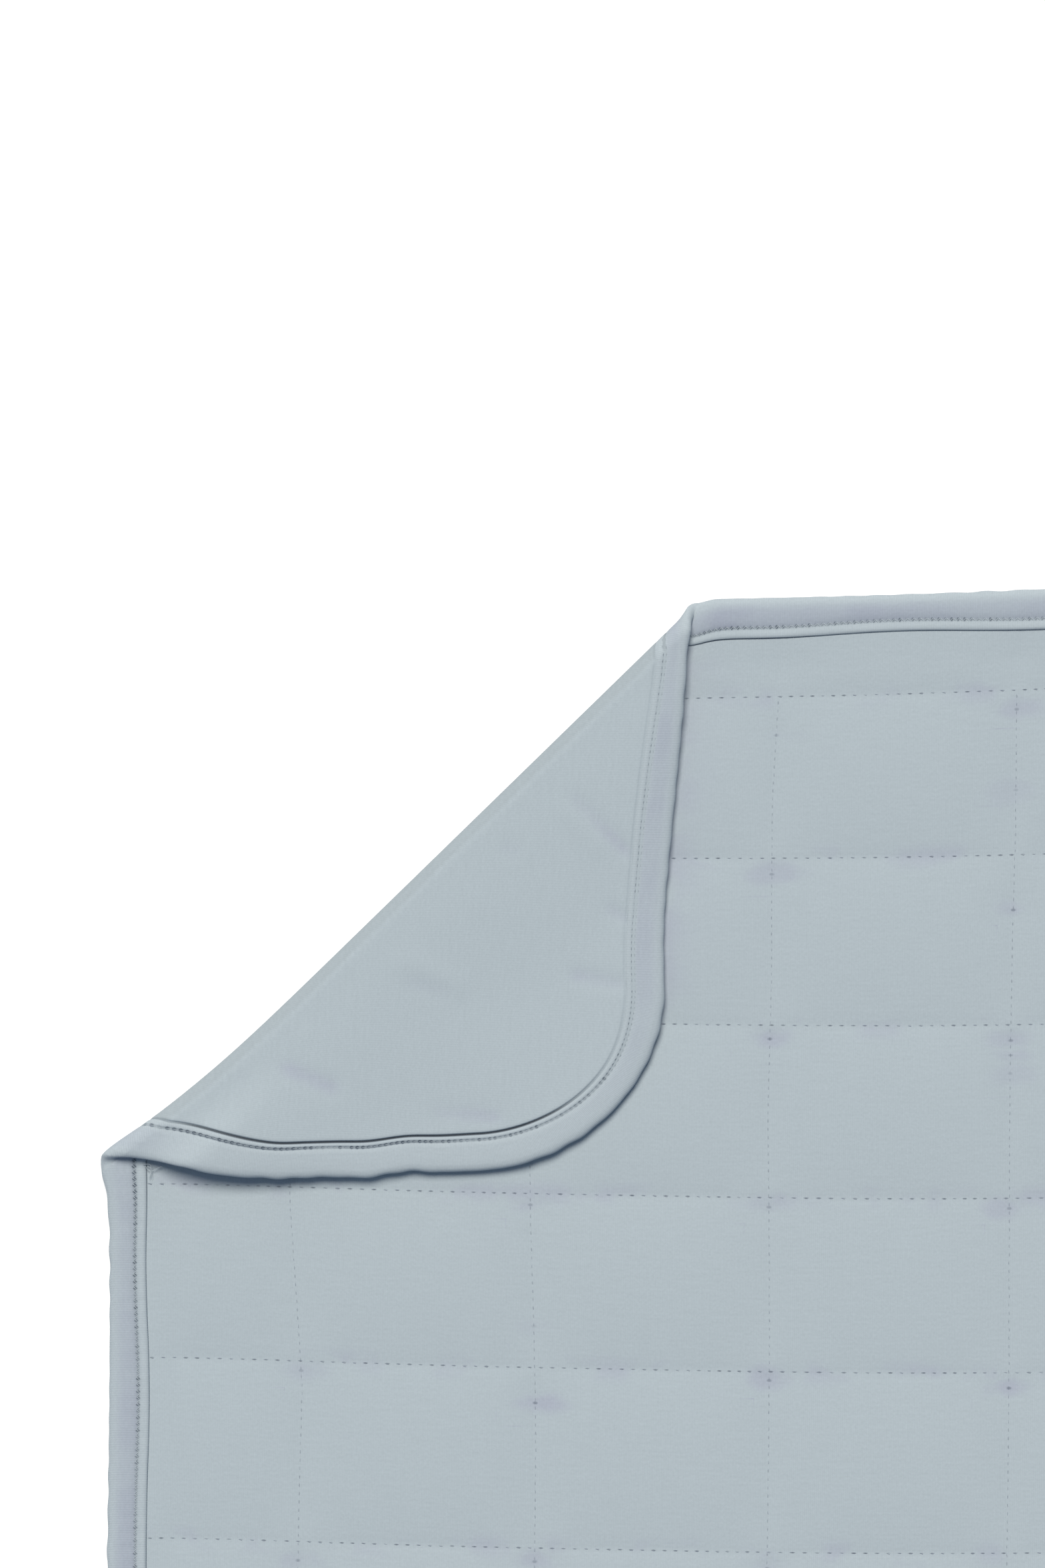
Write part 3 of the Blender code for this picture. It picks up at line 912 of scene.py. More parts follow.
def sweepRound(bm, step, corners, closed):
    # a strip of faces that runs once round the blanket's edge; gives each point's place and corner
    stations = round(edgeTotal / step)
    rows = corners if closed else corners - 1
    made = bmesh.ops.create_grid(bm, x_segments=stations, y_segments=rows, size=1)
    verts = made["verts"]
    station = np.array([round((vert.co.x + 1) / 2 * stations) % stations for vert in verts])
    corner = np.array([round((vert.co.y + 1) / 2 * rows) % corners for vert in verts])
    return verts, station * edgeTotal / stations, corner


def readVectors(mesh, name):
    values = np.empty(len(mesh.vertices) * 3)
    mesh.attributes[name].data.foreach_get("vector", values)
    return values.reshape(-1, 3)


def writeVectors(mesh, name, values):
    attribute = mesh.attributes.new(name, "FLOAT_VECTOR", "POINT")
    attribute.data.foreach_set("vector", np.ascontiguousarray(values, dtype=np.float32).ravel())


def addPiece(name, mesh, material):
    mesh.materials.append(material)
    mesh.shade_smooth()
    piece = bpy.data.objects.new(name, mesh)
    bpy.context.scene.collection.objects.link(piece)
    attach(piece, "root")
    return piece


def placePoints(mesh, points):
    mesh.vertices.foreach_set("co", (points + centreShift).astype(np.float32).ravel())
    mesh.update()


# Fine form of the quilted front, in metres
frontForm = {
    "across": {"first": 0.0014, "growth": 1.42, "largest": 0.0068},
    "along": {"first": 0.0014, "growth": 1.42, "largest": 0.0068},
    "trough": 0.00008,  # each seam draws the cloth in this much more
    "troughWidth": 0.0022,
    "dimple": 0.00045,  # soft hollows on the columns, a little below most rows
    "dimpleAcross": 0.0075,
    "dimpleAlong": 0.0038,
    "dimples": [  # column, row, how far below the row, and how strong
        (0, 4, 0.0035, 0.55),
        (0, 5, 0.0070, 0.60),
        (1, 3, 0.0042, 0.70),
        (1, 3, 0.0494, 0.30),
        (1, 4, 0.0131, 1.00),
        (1, 5, 0.0050, 0.70),
        (2, 0, 0.0148, 0.40),
        (2, 1, 0.0062, 0.65),
        (2, 2, 0.0052, 0.90),
        (2, 3, 0.0035, 0.70),
        (2, 4, 0.0032, 0.85),
        (2, 5, 0.0060, 0.70),
        (3, 0, 0.0072, 0.70),
        (3, 0, 0.0380, 0.35),
        (3, 1, 0.0210, 1.00),
        (3, 2, 0.0059, 0.80),
        (3, 2, 0.0183, 0.40),
        (3, 3, 0.0037, 0.70),
        (3, 4, 0.0057, 1.00),
    ],
    "otherDimples": (0.0030, 0.0075),  # how far below the row the rest lie
    "otherStrengths": (0.2, 1.0),
    "dimpleFar": 0.05,  # stands for any distance from a dimple that isn't near
    "dimpleOval": 1.8,
    "dimpleNear": 0.012,
    "dimpleFade": (0.007, 0.004),  # where a dimple's strength starts to fade, and over what length
    "pucker": 0.00006,  # small pleats beside the rows
    "puckerLength": 0.0085,
    "puckerReach": 0.007,
    "puckerStretch": 0.15,
    "sway": 0.00022,  # long uneven waves
    "swayLength": 0.16,
    "swayLowest": -0.0002,
    "seed": 11,
}

# Right edge of the folded corner as it lies, and the painted soft shadow beside it
flapSide = {
    "left": -0.2,
    "right": -0.15,
    "low": 0.33,
    "high": 0.492,
    "fadeIn": (0.33, 0.04),
    "fadeOut": (0.48, 0.012),
    "reach": 0.0085,
    "falloff": 1.5,
}


def quiltInward(x, y):
    return ramp(edgeDistance(x, y), blanket["stepStart"], quilting["columnShoulder"])


def placeDimples():
    # the ones listed, and one at each other crossing
    rng = np.random.default_rng(frontForm["seed"])
    byHand = frontForm["dimples"]
    lastColumn = max(dimple[0] for dimple in byHand)
    lastRow = max(dimple[1] for dimple in byHand)
    placed = [(columnSeams[spot[0]], rowSeams[spot[1]] - spot[2], spot[3]) for spot in byHand]
    for column in range(quilting["columns"]):
        for row in range(quilting["rows"]):
            below = rng.uniform(*frontForm["otherDimples"])
            strength = rng.uniform(*frontForm["otherStrengths"])
            if column > lastColumn or row > lastRow:
                placed.append((columnSeams[column], rowSeams[row] - below, strength))
    return placed


dimplePlaces = placeDimples()


def nearestDimple(x, y):
    # distances across and along from the nearest dimple, and its strength, which ends well away from it
    across = np.full_like(x, frontForm["dimpleFar"])
    along = np.full_like(x, frontForm["dimpleFar"])
    strength = np.zeros_like(x)
    nearest = np.full_like(x, frontForm["dimpleNear"])
    for dimpleX, dimpleY, depth in dimplePlaces:
        offX = x - dimpleX
        offY = y - dimpleY
        away = np.hypot(offX / frontForm["dimpleOval"], offY)
        here = away < nearest
        nearest[here] = away[here]
        across[here] = offX[here]
        along[here] = offY[here]
        strength[here] = depth * (1 - ramp(away[here], *frontForm["dimpleFade"]))
    return across, along, strength


def frontUpper(x, y):
    _, besideColumn = nearestSeam(x, columnSeams)
    row, besideRow = nearestSeam(y, rowSeams)
    inward = quiltInward(x, y)
    crown = flank(besideColumn, quilting["columnFlank"]) * flank(besideRow, quilting["rowFlank"])
    across, along, strength = nearestDimple(x, y)
    oval = (across / frontForm["dimpleAcross"]) ** 2 + (along / frontForm["dimpleAlong"]) ** 2
    dimple = frontForm["dimple"] * strength * np.exp(-oval)
    trough = np.exp(-((besideColumn / frontForm["troughWidth"]) ** 2))
    trough = np.maximum(trough, np.exp(-((besideRow / frontForm["troughWidth"]) ** 2)))
    pleats = softNoise(x, y * frontForm["puckerStretch"] + row, frontForm["puckerLength"], 3)
    pleats = pleats * frontForm["pucker"] * np.exp(-((besideRow / frontForm["puckerReach"]) ** 2))
    sway = softNoise(x, y, frontForm["swayLength"], 4) * frontForm["sway"]
    thick = blanket["seamQuilt"] - blanket["edgeQuilt"] + blanket["puff"] * crown
    sway = np.maximum(sway, frontForm["swayLowest"]) * crown
    thick = thick - dimple - trough * frontForm["trough"] + pleats + sway
    return bedHeight(x, y) + blanket["panelRise"] + blanket["edgeQuilt"] + inward * thick


def frontLower(x, y):
    return bedHeight(x, y) + blanket["panelRise"]


def columnDistance(x, y):
    # how far a point is from a column's seam, which runs only from the first row to the last
    _, besideColumn = nearestSeam(x, columnSeams)
    return np.where((y > rowSeams[0]) | (y < rowSeams[-1]), quilting["columnFlank"], besideColumn)


def besideFlap(points):
    # mask of the painted shadow: 1 beside the right edge of the folded corner, down to 0 a little way
    # off
    x, y, _ = laidEdge.T
    onEdge = (x > flapSide["left"]) & (x < flapSide["right"])
    onEdge &= (y > flapSide["low"]) & (y < flapSide["high"])
    order = y[onEdge].argsort()
    away = points[:, 0] - np.interp(points[:, 1], y[onEdge][order], x[onEdge][order])
    ends = ramp(points[:, 1], *flapSide["fadeIn"]) * (1 - ramp(points[:, 1], *flapSide["fadeOut"]))
    return ends * np.exp(-((np.maximum(away, 0) / flapSide["reach"]) ** flapSide["falloff"]))


def makeQuiltedFront():
    edgeX = halfWidth - blanket["panelInset"]
    edgeY = halfLength - blanket["panelInset"]
    linesX = seamLines(columnSeams, -edgeX, edgeX, frontForm["across"])
    linesY = seamLines(rowSeams, -edgeY, edgeY, frontForm["along"])
    bm = flatSheet(linesX, linesY, blanket["panelInset"])
    layer = rememberFlat(bm)
    cutAlongFold(bm)
    slabFromSheet(bm, layer)
    mesh = bpy.data.meshes.new("quiltedFront")
    bm.to_mesh(mesh)
    bm.free()
    flat = readVectors(mesh, "flat")
    x, y, side = flat.T
    height = np.where(side > 0.5, frontUpper(x, y), frontLower(x, y))
    besideColumn = columnDistance(x, y)
    _, besideRow = nearestSeam(y, rowSeams)
    points = layFront(x, y, height)
    # the third number marks where the painted shadow beside the folded corner falls
    writeVectors(mesh, "seams", np.stack([besideColumn, besideRow, besideFlap(points)], axis=1))
    writeVectors(mesh, "dimple", np.stack(nearestDimple(x, y), axis=1))
    placePoints(mesh, points)
    return addPiece("quiltedFront", mesh, quiltedMaterial)


quiltedFront = makeQuiltedFront()
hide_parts("quilted_panel")
print("quilted front:", len(quiltedFront.data.polygons), "faces")

# Binding: its section from the front lip round to the back, as distance in from the edge and height in
# metres, then how much of the painted shade under the lip and in the stitch groove a corner has
bindingForm = {
    "step": 0.0016,
    "front": [
        (0.01380, 0.00408, 1.0, 0.0),
        (0.01460, 0.00414, 1.0, 0.0),
        (0.01436, 0.00450, 0.9, 0.0),
        (0.01408, 0.00492, 0.0, 0.0),
        (0.01320, 0.00514),
        (0.01210, 0.00506),
        (0.01125, 0.00480, 0.0, 0.1),
        (0.01040, 0.00456, 0.0, 0.8),
        (0.00955, 0.00480, 0.0, 0.1),
        (0.00850, 0.00518),
        (0.00680, 0.00542),
        (0.00480, 0.00550),
        (0.00300, 0.00538),
        (0.00160, 0.00500),
        (0.00065, 0.00430),
        (0.00014, 0.00350),
        (0.00000, 0.00265),
    ],
    "back": [
        (0.00014, 0.00180),
        (0.00065, 0.00100),
        (0.00160, 0.00034),
        (0.00320, 0.00006),
        (0.00600, 0.00000),
        (0.00900, 0.00000),
        (0.01070, 0.00008),
        (0.01105, 0.00036, 0.0, 0.7),
        (0.01140, 0.00050, 0.0, 1.0),
        (0.01170, 0.00034, 0.0, 0.6),
        (0.01195, 0.00010),
        (0.01320, 0.00000),
        (0.01435, 0.00012),
        (0.01462, 0.00050, 0.8, 0.0),
        (0.01492, 0.00105, 1.0, 0.0),
        (0.01420, 0.00112, 1.0, 0.0),
    ],
    "inside": [
        (0.00900, 0.00096),
        (0.00260, 0.00120),
        (0.00200, 0.00265),
        (0.00260, 0.00410),
        (0.00900, 0.00425),
    ],
    "gather": 0.00009,  # small cross pleats drawn in by the sewing
    "gatherLength": 0.0052,
    "waver": 0.00075,  # the stitch line and lip wander in and out
    "waverLength": 0.105,
    "lipLift": 0.00022,
    "lipLiftLength": 0.038,
    "edgeNick": 0.00018,
    "edgeNickLength": 0.011,
    "usualShade": 0.4,
    # places on the laid edge, and how dark the painted shade line under the lip is there
    "lipMarks": [
        (-0.359, 0.289, 0.35),
        (-0.342, 0.287, 0.8),
        (-0.322, 0.286, 1.0),
        (-0.273, 0.287, 1.0),
        (-0.223, 0.292, 0.95),
        (-0.203, 0.303, 0.5),
        (-0.184, 0.322, 0.2),
        (-0.175, 0.364, 0.06),
        (-0.172, 0.416, 0.08),
        (-0.169, 0.451, 0.05),
        (-0.166, 0.484, 0.1),
        (-0.158, 0.501, 1.0),
        (-0.144, 0.501, 0.95),
        (-0.124, 0.502, 0.8),
        (-0.105, 0.502, 0.45),
        (-0.075, 0.503, 0.5),
        (-0.035, 0.504, 0.5),
        (-0.381, 0.286, 0.4),
        (-0.381, 0.266, 0.08),
        (-0.381, 0.143, 0.08),
    ],
    # and how dark the painted shade in the groove of its stitches is
    "grooveMarks": [
        (-0.364, 0.291, 0.3),
        (-0.347, 0.288, 0.9),
        (-0.312, 0.286, 1.0),
        (-0.3, 0.285, 0.4),
        (-0.282, 0.285, 0.9),
        (-0.263, 0.287, 0.85),
        (-0.248, 0.288, 0.4),
        (-0.198, 0.305, 0.3),
        (-0.176, 0.352, 0.25),
        (-0.166, 0.484, 0.3),
        (-0.158, 0.501, 0.9),
        (-0.147, 0.501, 0.6),
        (-0.124, 0.502, 0.4),
        (-0.035, 0.504, 0.3),
        (-0.381, 0.286, 0.9),
        (-0.381, 0.266, 0.6),
        (-0.381, 0.143, 0.4),
    ],
    # and how much painted cooler shade the binding gets between its edge and its stitches
    "coolMarks": [
        (-0.347, 0.288, 0.0),
        (-0.223, 0.292, 0.0),
        (-0.184, 0.322, 0.2),
        (-0.175, 0.364, 0.5),
        (-0.169, 0.451, 0.6),
        (-0.166, 0.484, 0.5),
        (-0.158, 0.501, 1.0),
        (-0.124, 0.502, 0.9),
        (-0.035, 0.504, 0.6),
        (-0.381, 0.286, 0.6),
        (-0.381, 0.143, 0.7),
    ],
    # how far in the stitch line and lip stray there, in metres
    "strayMarks": [
        (-0.366, 0.290, 0.0),
        (-0.309, 0.286, 0.0009),
        (-0.250, 0.289, 0.0),
        (-0.203, 0.303, -0.0006),
        (-0.184, 0.322, -0.00085),
        (-0.175, 0.364, -0.0008),
        (-0.172, 0.416, 0.0004),
        (-0.166, 0.484, 0.0),
        (-0.381, 0.286, 0.0),
    ],
    # and how much less of the lip is left past the stitches
    "tuckMarks": [
        (-0.366, 0.290, 0.0008),
        (-0.309, 0.286, 0.0015),
        (-0.250, 0.289, 0.0013),
        (-0.184, 0.322, 0.0010),
        (-0.175, 0.364, 0.0004),
        (-0.166, 0.484, 0.0),
        (-0.381, 0.286, 0.0),
    ],
    "narrowing": 0.0030,  # the back's stitch line runs closer to the edge just past the fold's top end
    "narrowFrom": 1.884,
    "narrowRise": 0.010,
    "narrowReach": 0.045,
    # parts of the section, as where each starts in from the edge, or up, and over what length
    "wanderPart": (0.0040, 0.0060),
    "gatherPart": (0.0020, 0.0060),
    "lipPart": (0.0118, 0.0015),
    "upperPart": (0.0043, 0.0004),
    "tuckPart": (0.0118, 0.0024),
    "tuckEnd": (0.0165, 0.0060),
    "nickDepth": 0.0016,
    "lipLowest": -0.3,
}


def pathNoise(place, length, seed):
    # waves along the edge that meet again after one round
    rng = np.random.default_rng(seed)
    total = np.zeros_like(place)
    for _ in range(6):
        rounds = max(1, round(edgeTotal / (length * rng.uniform(0.65, 1.5))))
        total = total + np.sin(2 * math.pi * rounds * place / edgeTotal + rng.uniform(0, 2 * math.pi))
    return total / 3.2


def lipStray(place):
    # how far in or out the binding's stitch line and lip lie at a place along the edge
    past = place - bindingForm["narrowFrom"]
    narrowed = np.exp(-((past / bindingForm["narrowReach"]) ** 2))
    narrowed = smooth(past / bindingForm["narrowRise"]) * narrowed
    wander = bindingForm["waver"] * pathNoise(place, bindingForm["waverLength"], 21)
    wander = wander + valueAlong(place, bindingForm["strayMarks"], 0.0)
    return wander - bindingForm["narrowing"] * narrowed


def lipTuck(place, inset):
    # how much nearer to the edge the free lip past the stitches ends
    share = ramp(inset, *bindingForm["tuckPart"]) * (1 - ramp(inset, *bindingForm["tuckEnd"]))
    return valueAlong(place, bindingForm["tuckMarks"], 0.0) * share


def bindingSurface(place, inset, height):
    # a point of the section at a place along the edge, with the pleats, wander and lip of that place
    inner = ramp(inset, *bindingForm["wanderPart"])
    upper = ramp(height, *bindingForm["upperPart"])
    outer = 1 - smooth(inset / bindingForm["nickDepth"])
    moved = inset + lipStray(place) * inner - lipTuck(place, inset)
    moved = moved + bindingForm["edgeNick"] * pathNoise(place, bindingForm["edgeNickLength"], 24) * outer
    pleat = pathNoise(place, bindingForm["gatherLength"], 22) * ramp(inset, *bindingForm["gatherPart"])
    lift = np.maximum(pathNoise(place, bindingForm["lipLiftLength"], 23), bindingForm["lipLowest"])
    lift = lift * bindingForm["lipLift"] * (ramp(inset, *bindingForm["lipPart"]) * upper)
    return moved, height + bindingForm["gather"] * pleat * upper + lift


def atEdge(place):
    # point on the edge and inward normal for any place along it
    index = place / edgeTotal * len(edgePlace)
    low = np.floor(index).astype(int) % len(edgePlace)
    high = (low + 1) % len(edgePlace)
    share = (index - np.floor(index))[:, None]
    point = edgePoints[low] * (1 - share) + edgePoints[high] * share
    normal = edgeNormals[low] * (1 - share) + edgeNormals[high] * share
    return point, normal / np.linalg.norm(normal, axis=1)[:, None]


def valueAlong(place, marks, usual):
    # value at a place along the edge, from marks on the laid edge
    known = {}
    for x, y, value in marks:
        away = np.hypot(laidEdge[:, 0] - x, laidEdge[:, 1] - y)
        known[edgePlace[away.argmin()]] = value
    known[edgePlace[0]] = usual
    places = sorted(known)
    return np.interp(place, places, [known[at] for at in places], period=edgeTotal)


def makeBinding():
    section = [*bindingForm["front"], *bindingForm["back"], *bindingForm["inside"]]
    section = [(*corner, 0.0, 0.0)[:4] for corner in section]
    bm = bmesh.new()
    layer = bm.verts.layers.float_vector.new("flat")
    strip = bm.verts.layers.float_vector.new("strip")
    crevice = bm.verts.layers.float_vector.new("crevice")
    verts, place, corner = sweepRound(bm, bindingForm["step"], len(section), True)
    inset, height, lipShare, grooveShare = np.array(section)[corner].T
    # painted shade: under the lip and in the stitch groove
    shade = lipShare * valueAlong(place, bindingForm["lipMarks"], bindingForm["usualShade"])
    groove = valueAlong(place, bindingForm["grooveMarks"], bindingForm["usualShade"])
    shade = shade + grooveShare * groove
    cooler = valueAlong(place, bindingForm["coolMarks"], bindingForm["usualShade"])
    point, normal = atEdge(place)
    moved, height = bindingSurface(place, inset, height)
    flat = point + normal * moved[:, None]
    side = np.where(corner < len(bindingForm["front"]), 1.0, -1.0)
    pulledX, pulledY = pullOutOfSquare(flat[:, 0], flat[:, 1])
    for i, vert in enumerate(verts):
        vert[layer] = Vector((flat[i, 0], flat[i, 1], height[i]))
        vert[strip] = Vector((place[i], inset[i], side[i]))
        vert[crevice] = Vector((shade[i], cooler[i], groove[i]))
        vert.co = (pulledX[i], pulledY[i], height[i])
    bmesh.ops.remove_doubles(bm, verts=bm.verts[:], dist=0.0000001)
    cutAlongFold(bm)
    bmesh.ops.recalc_face_normals(bm, faces=bm.faces[:])
    mesh = bpy.data.meshes.new("edgeBinding")
    bm.to_mesh(mesh)
    bm.free()
    x, y, height = readVectors(mesh, "flat").T
    placePoints(mesh, layDown(x, y, height))
    return addPiece("edgeBinding", mesh, bindingMaterial)


edgeBinding = makeBinding()
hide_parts("binding")
print("binding:", len(edgeBinding.data.polygons), "faces")

# Plain back cloth: fine where it is folded over and shows, coarse underneath
backForm = {
    "fineStep": 0.0025,
    "fineReach": 0.262,  # from the folded corner, along both edges
    "coarseStep": 0.013,
    "middleInset": 0.0197,  # the grid ends this far in, and a rim runs round it
    "rimStep": 0.0018,
    "valley": 0.0150,  # where the rim dips under the lip
    "valleyWidth": 0.0007,
    "shallowest": 0.15,  # share of the valley's depth where the line under the lip is faint
    # where the painted shade under the lip ends, and over what length
    "shadeFrom": 0.0150,
    "shadeWidth": 0.0005,
    "bendShadeFrom": 0.37,  # radians short of lying flat again
    "fullShade": 0.8,  # a painted shade line under the lip this dark has the whole valley
    "farInset": 1.0,  # stands for any place inside the rim
    "followPart": (0.0090, 0.0050),  # the rim follows the binding's lip from here, and over what length
    "followEnd": (0.0165, 0.0060),
    "rim": [
        0.0026,
        0.0060,
        0.0090,
        0.0115,
        0.0142,
        0.0148,
        0.01505,
        0.0153,
        0.01555,
        0.0159,
        0.0168,
        0.0180,
    ],
}

# Creases on the folded corner, in metres: both ends, half width, height and how much painted cooler
# shade they get
flapCreases = [
    {"from": (-0.208, 0.426), "to": (-0.188, 0.405), "width": 0.0026, "height": -0.0005, "shade": 0.5},
    {"from": (-0.212, 0.423), "to": (-0.197, 0.406), "width": 0.004, "height": 0.00028, "shade": 0.0},
    {"from": (-0.196, 0.386), "to": (-0.188, 0.381), "width": 0.0026, "height": -0.0004, "shade": 0.35},
    {"from": (-0.209, 0.361), "to": (-0.19, 0.357), "width": 0.003, "height": -0.00048, "shade": 0.5},
    {"from": (-0.273, 0.367), "to": (-0.25, 0.356), "width": 0.0045, "height": 0.00036, "shade": 0.0},
    {"from": (-0.27, 0.358), "to": (-0.254, 0.354), "width": 0.0036, "height": -0.00024, "shade": 0.25},
    {"from": (-0.235, 0.409), "to": (-0.229, 0.405), "width": 0.0036, "height": -0.00028, "shade": 0.25},
    {"from": (-0.345, 0.327), "to": (-0.33, 0.323), "width": 0.0036, "height": -0.0004, "shade": 0.5},
    {"from": (-0.316, 0.327), "to": (-0.296, 0.318), "width": 0.0034, "height": -0.00052, "shade": 0.55},
    {"from": (-0.317, 0.343), "to": (-0.305, 0.338), "width": 0.005, "height": 0.00026, "shade": 0.0},
    {"from": (-0.259, 0.31), "to": (-0.236, 0.308), "width": 0.003, "height": -0.00026, "shade": 0.55},
    {"from": (-0.184, 0.475), "to": (-0.176, 0.47), "width": 0.0036, "height": -0.00026, "shade": 0.2},
]


def creaseForm(x, y):
    # height of the creases at a place on the folded corner, and their painted shade
    height = np.zeros_like(x)
    shade = np.zeros_like(x)
    for crease in flapCreases:
        run = np.array(crease["to"]) - np.array(crease["from"])
        length = float(np.linalg.norm(run))
        heading = run / length
        offX = x - crease["from"][0]
        offY = y - crease["from"][1]
        along = (offX * heading[0] + offY * heading[1]) / length
        beside = (offY * heading[0] - offX * heading[1]) / crease["width"]
        ends = smooth(along * 3 + 0.6) * smooth((1 - along) * 3 + 0.6)
        form = ends * np.exp(-(beside**2))
        height = height + crease["height"] * form
        shade = np.maximum(shade, crease["shade"] * form)
    return height, shade


def addRim(bm, layer, insetLayer):
    # the back cloth's outer part, which follows the binding's lip, joined to the grid
    verts, place, corner = sweepRound(bm, backForm["rimStep"], len(backForm["rim"]), False)
    point, normal = atEdge(place)
    inset = np.array(backForm["rim"])[corner]
    follow = ramp(inset, *backForm["followPart"]) * (1 - ramp(inset, *backForm["followEnd"]))
    moved = inset + lipStray(place) * follow - lipTuck(place, inset)
    flat = point + normal * moved[:, None]
    pulledX, pulledY = pullOutOfSquare(flat[:, 0], flat[:, 1])
    shade = valueAlong(place, bindingForm["lipMarks"], bindingForm["usualShade"])
    for i, vert in enumerate(verts):
        vert[layer] = Vector((flat[i, 0], flat[i, 1], 0))
        vert[insetLayer] = Vector((inset[i], shade[i], 0))
        vert.co = (pulledX[i], pulledY[i], 0)
    bmesh.ops.remove_doubles(bm, verts=verts, dist=0.0000001)
    outermost = backForm["rim"][1]
    gap = [e for e in bm.edges if e.is_boundary and min(v[insetLayer].x for v in e.verts) > outermost]
    bmesh.ops.triangle_fill(bm, use_beauty=True, edges=gap)


def backLower(inset, shade):
    # the back cloth lies on the floor, and over the binding's lower leg at its rim
    low = blanket["edgeRise"] * (1 - ramp(inset, backForm["valley"], backForm["valleyWidth"]))
    depth = backForm["shallowest"] + (1 - backForm["shallowest"]) * smooth(shade / backForm["fullShade"])
    return low * depth


def makePlainBack():
    edgeX = halfWidth - backForm["middleInset"]
    edgeY = halfLength - backForm["middleInset"]
    reach = backForm["fineReach"]
    fineX = np.linspace(-edgeX, -edgeX + reach, round(reach / backForm["fineStep"]) + 1)
    coarseX = np.linspace(-edgeX + reach, edgeX, round((2 * edgeX - reach) / backForm["coarseStep"]) + 1)
    fineY = np.linspace(edgeY - reach, edgeY, round(reach / backForm["fineStep"]) + 1)
    coarseY = np.linspace(-edgeY, edgeY - reach, round((2 * edgeY - reach) / backForm["coarseStep"]) + 1)
    linesX = np.concatenate([fineX, coarseX[1:]])
    bm = flatSheet(linesX, np.concatenate([coarseY, fineY[1:]]), backForm["middleInset"])
    layer = rememberFlat(bm)
    insetLayer = bm.verts.layers.float_vector.new("inset")
    for vert in bm.verts:
        vert[insetLayer] = Vector((backForm["farInset"], 0, 0))
    addRim(bm, layer, insetLayer)
    slabFromSheet(bm, layer)
    cutAlongFold(bm)
    bmesh.ops.recalc_face_normals(bm, faces=bm.faces[:])
    mesh = bpy.data.meshes.new("plainBack")
    bm.to_mesh(mesh)
    bm.free()
    x, y, side = readVectors(mesh, "flat").T
    inset, lipShade, _ = readVectors(mesh, "inset").T
    height = np.where(side > 0.5, bedHeight(x, y) + blanket["backCloth"], backLower(inset, lipShade))
    points = layDown(x, y, height)
    pulled = np.stack(pullOutOfSquare(x, y), axis=1)
    past, _ = foldPlace(pulled)
    onFlap = smooth((past - bendLength) / lying["sagStart"])
    creased, shade = creaseForm(points[:, 0], points[:, 1])
    points[:, 2] += onFlap * creased
    # painted shade in the valley under the binding's lip
    underLip = lipShade * (1 - ramp(inset, backForm["shadeFrom"], backForm["shadeWidth"]))
    # the bend faces the light, and is shaded as much so that it looks as even as the rest
    bent = smooth((math.pi - np.clip(past / bendRadius, 0, math.pi)) / backForm["bendShadeFrom"])
    bent = bent * (past > 0)
    # painted shades: cooler along the creases, dark under the lip and on the bend
    writeVectors(mesh, "creased", np.stack([onFlap * shade, underLip, bent], axis=1))
    placePoints(mesh, points)
    return addPiece("plainBack", mesh, backMaterial)


plainBack = makePlainBack()
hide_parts("back_panel")
print("plain back:", len(plainBack.data.polygons), "faces")


def threadMesh(starts, ends, surface, sewing, thickness, turnedDown=False):
    # one small bowed tube a stitch, its ends down in the needle holes; starts and ends are flat places
    shares = np.array([0.0, 0.16, 0.5, 0.84, 1.0])
    rises = np.array([-1.6, 0.35, 1.0, 0.35, -1.6])
    widths = np.array([0.55, 1.0, 1.0, 1.0, 0.55])
    sides = 5
    run = ends - starts
    length = np.linalg.norm(run, axis=1)[:, None]
    beside = np.stack([-run[:, 1], run[:, 0]], axis=1) / length
    corners = []
    for share, rise, width in zip(shares, rises, widths):
        centre = starts + run * share
        flatX, flatY, level = surface(centre, share)
        up = -1 if turnedDown else 1
        middle = level + up * (sewing["crest"] + sewing["radius"] * 0.4) * rise
        for turn in range(sides):
            angle = 2 * math.pi * turn / sides
            out = thickness * width * math.cos(angle)
            over = thickness * width * math.sin(angle)
            corners.append((flatX + beside[:, 0] * out, flatY + beside[:, 1] * out, middle + over))
    places = np.array(corners).transpose(2, 0, 1).reshape(-1, 3)
    ring = np.arange(len(shares) - 1)[:, None] * sides
    here = np.arange(sides)[None, :]
    there = (here + 1) % sides
    ringQuads = [ring + here, ring + there, ring + sides + there, ring + sides + here]
    quads = np.stack(ringQuads, axis=2).reshape(-1, 4)
    first = np.arange(len(starts))[:, None, None] * (len(shares) * sides)
    faces = (quads[None] + first).reshape(-1, 4)
    return places, faces


def threadPiece(name, parts, lay, material):
    # joins the threads of a seam into one piece
    places = np.concatenate([places for places, _ in parts])
    firsts = np.cumsum([0, *[len(places) for places, _ in parts]])
    faces = np.concatenate([faces + first for (_, faces), first in zip(parts, firsts)])
    mesh = bpy.data.meshes.new(name)
    mesh.from_pydata(places.tolist(), [], faces.tolist())
    placePoints(mesh, lay(*places.T))
    piece = addPiece(name, mesh, material)
    return piece


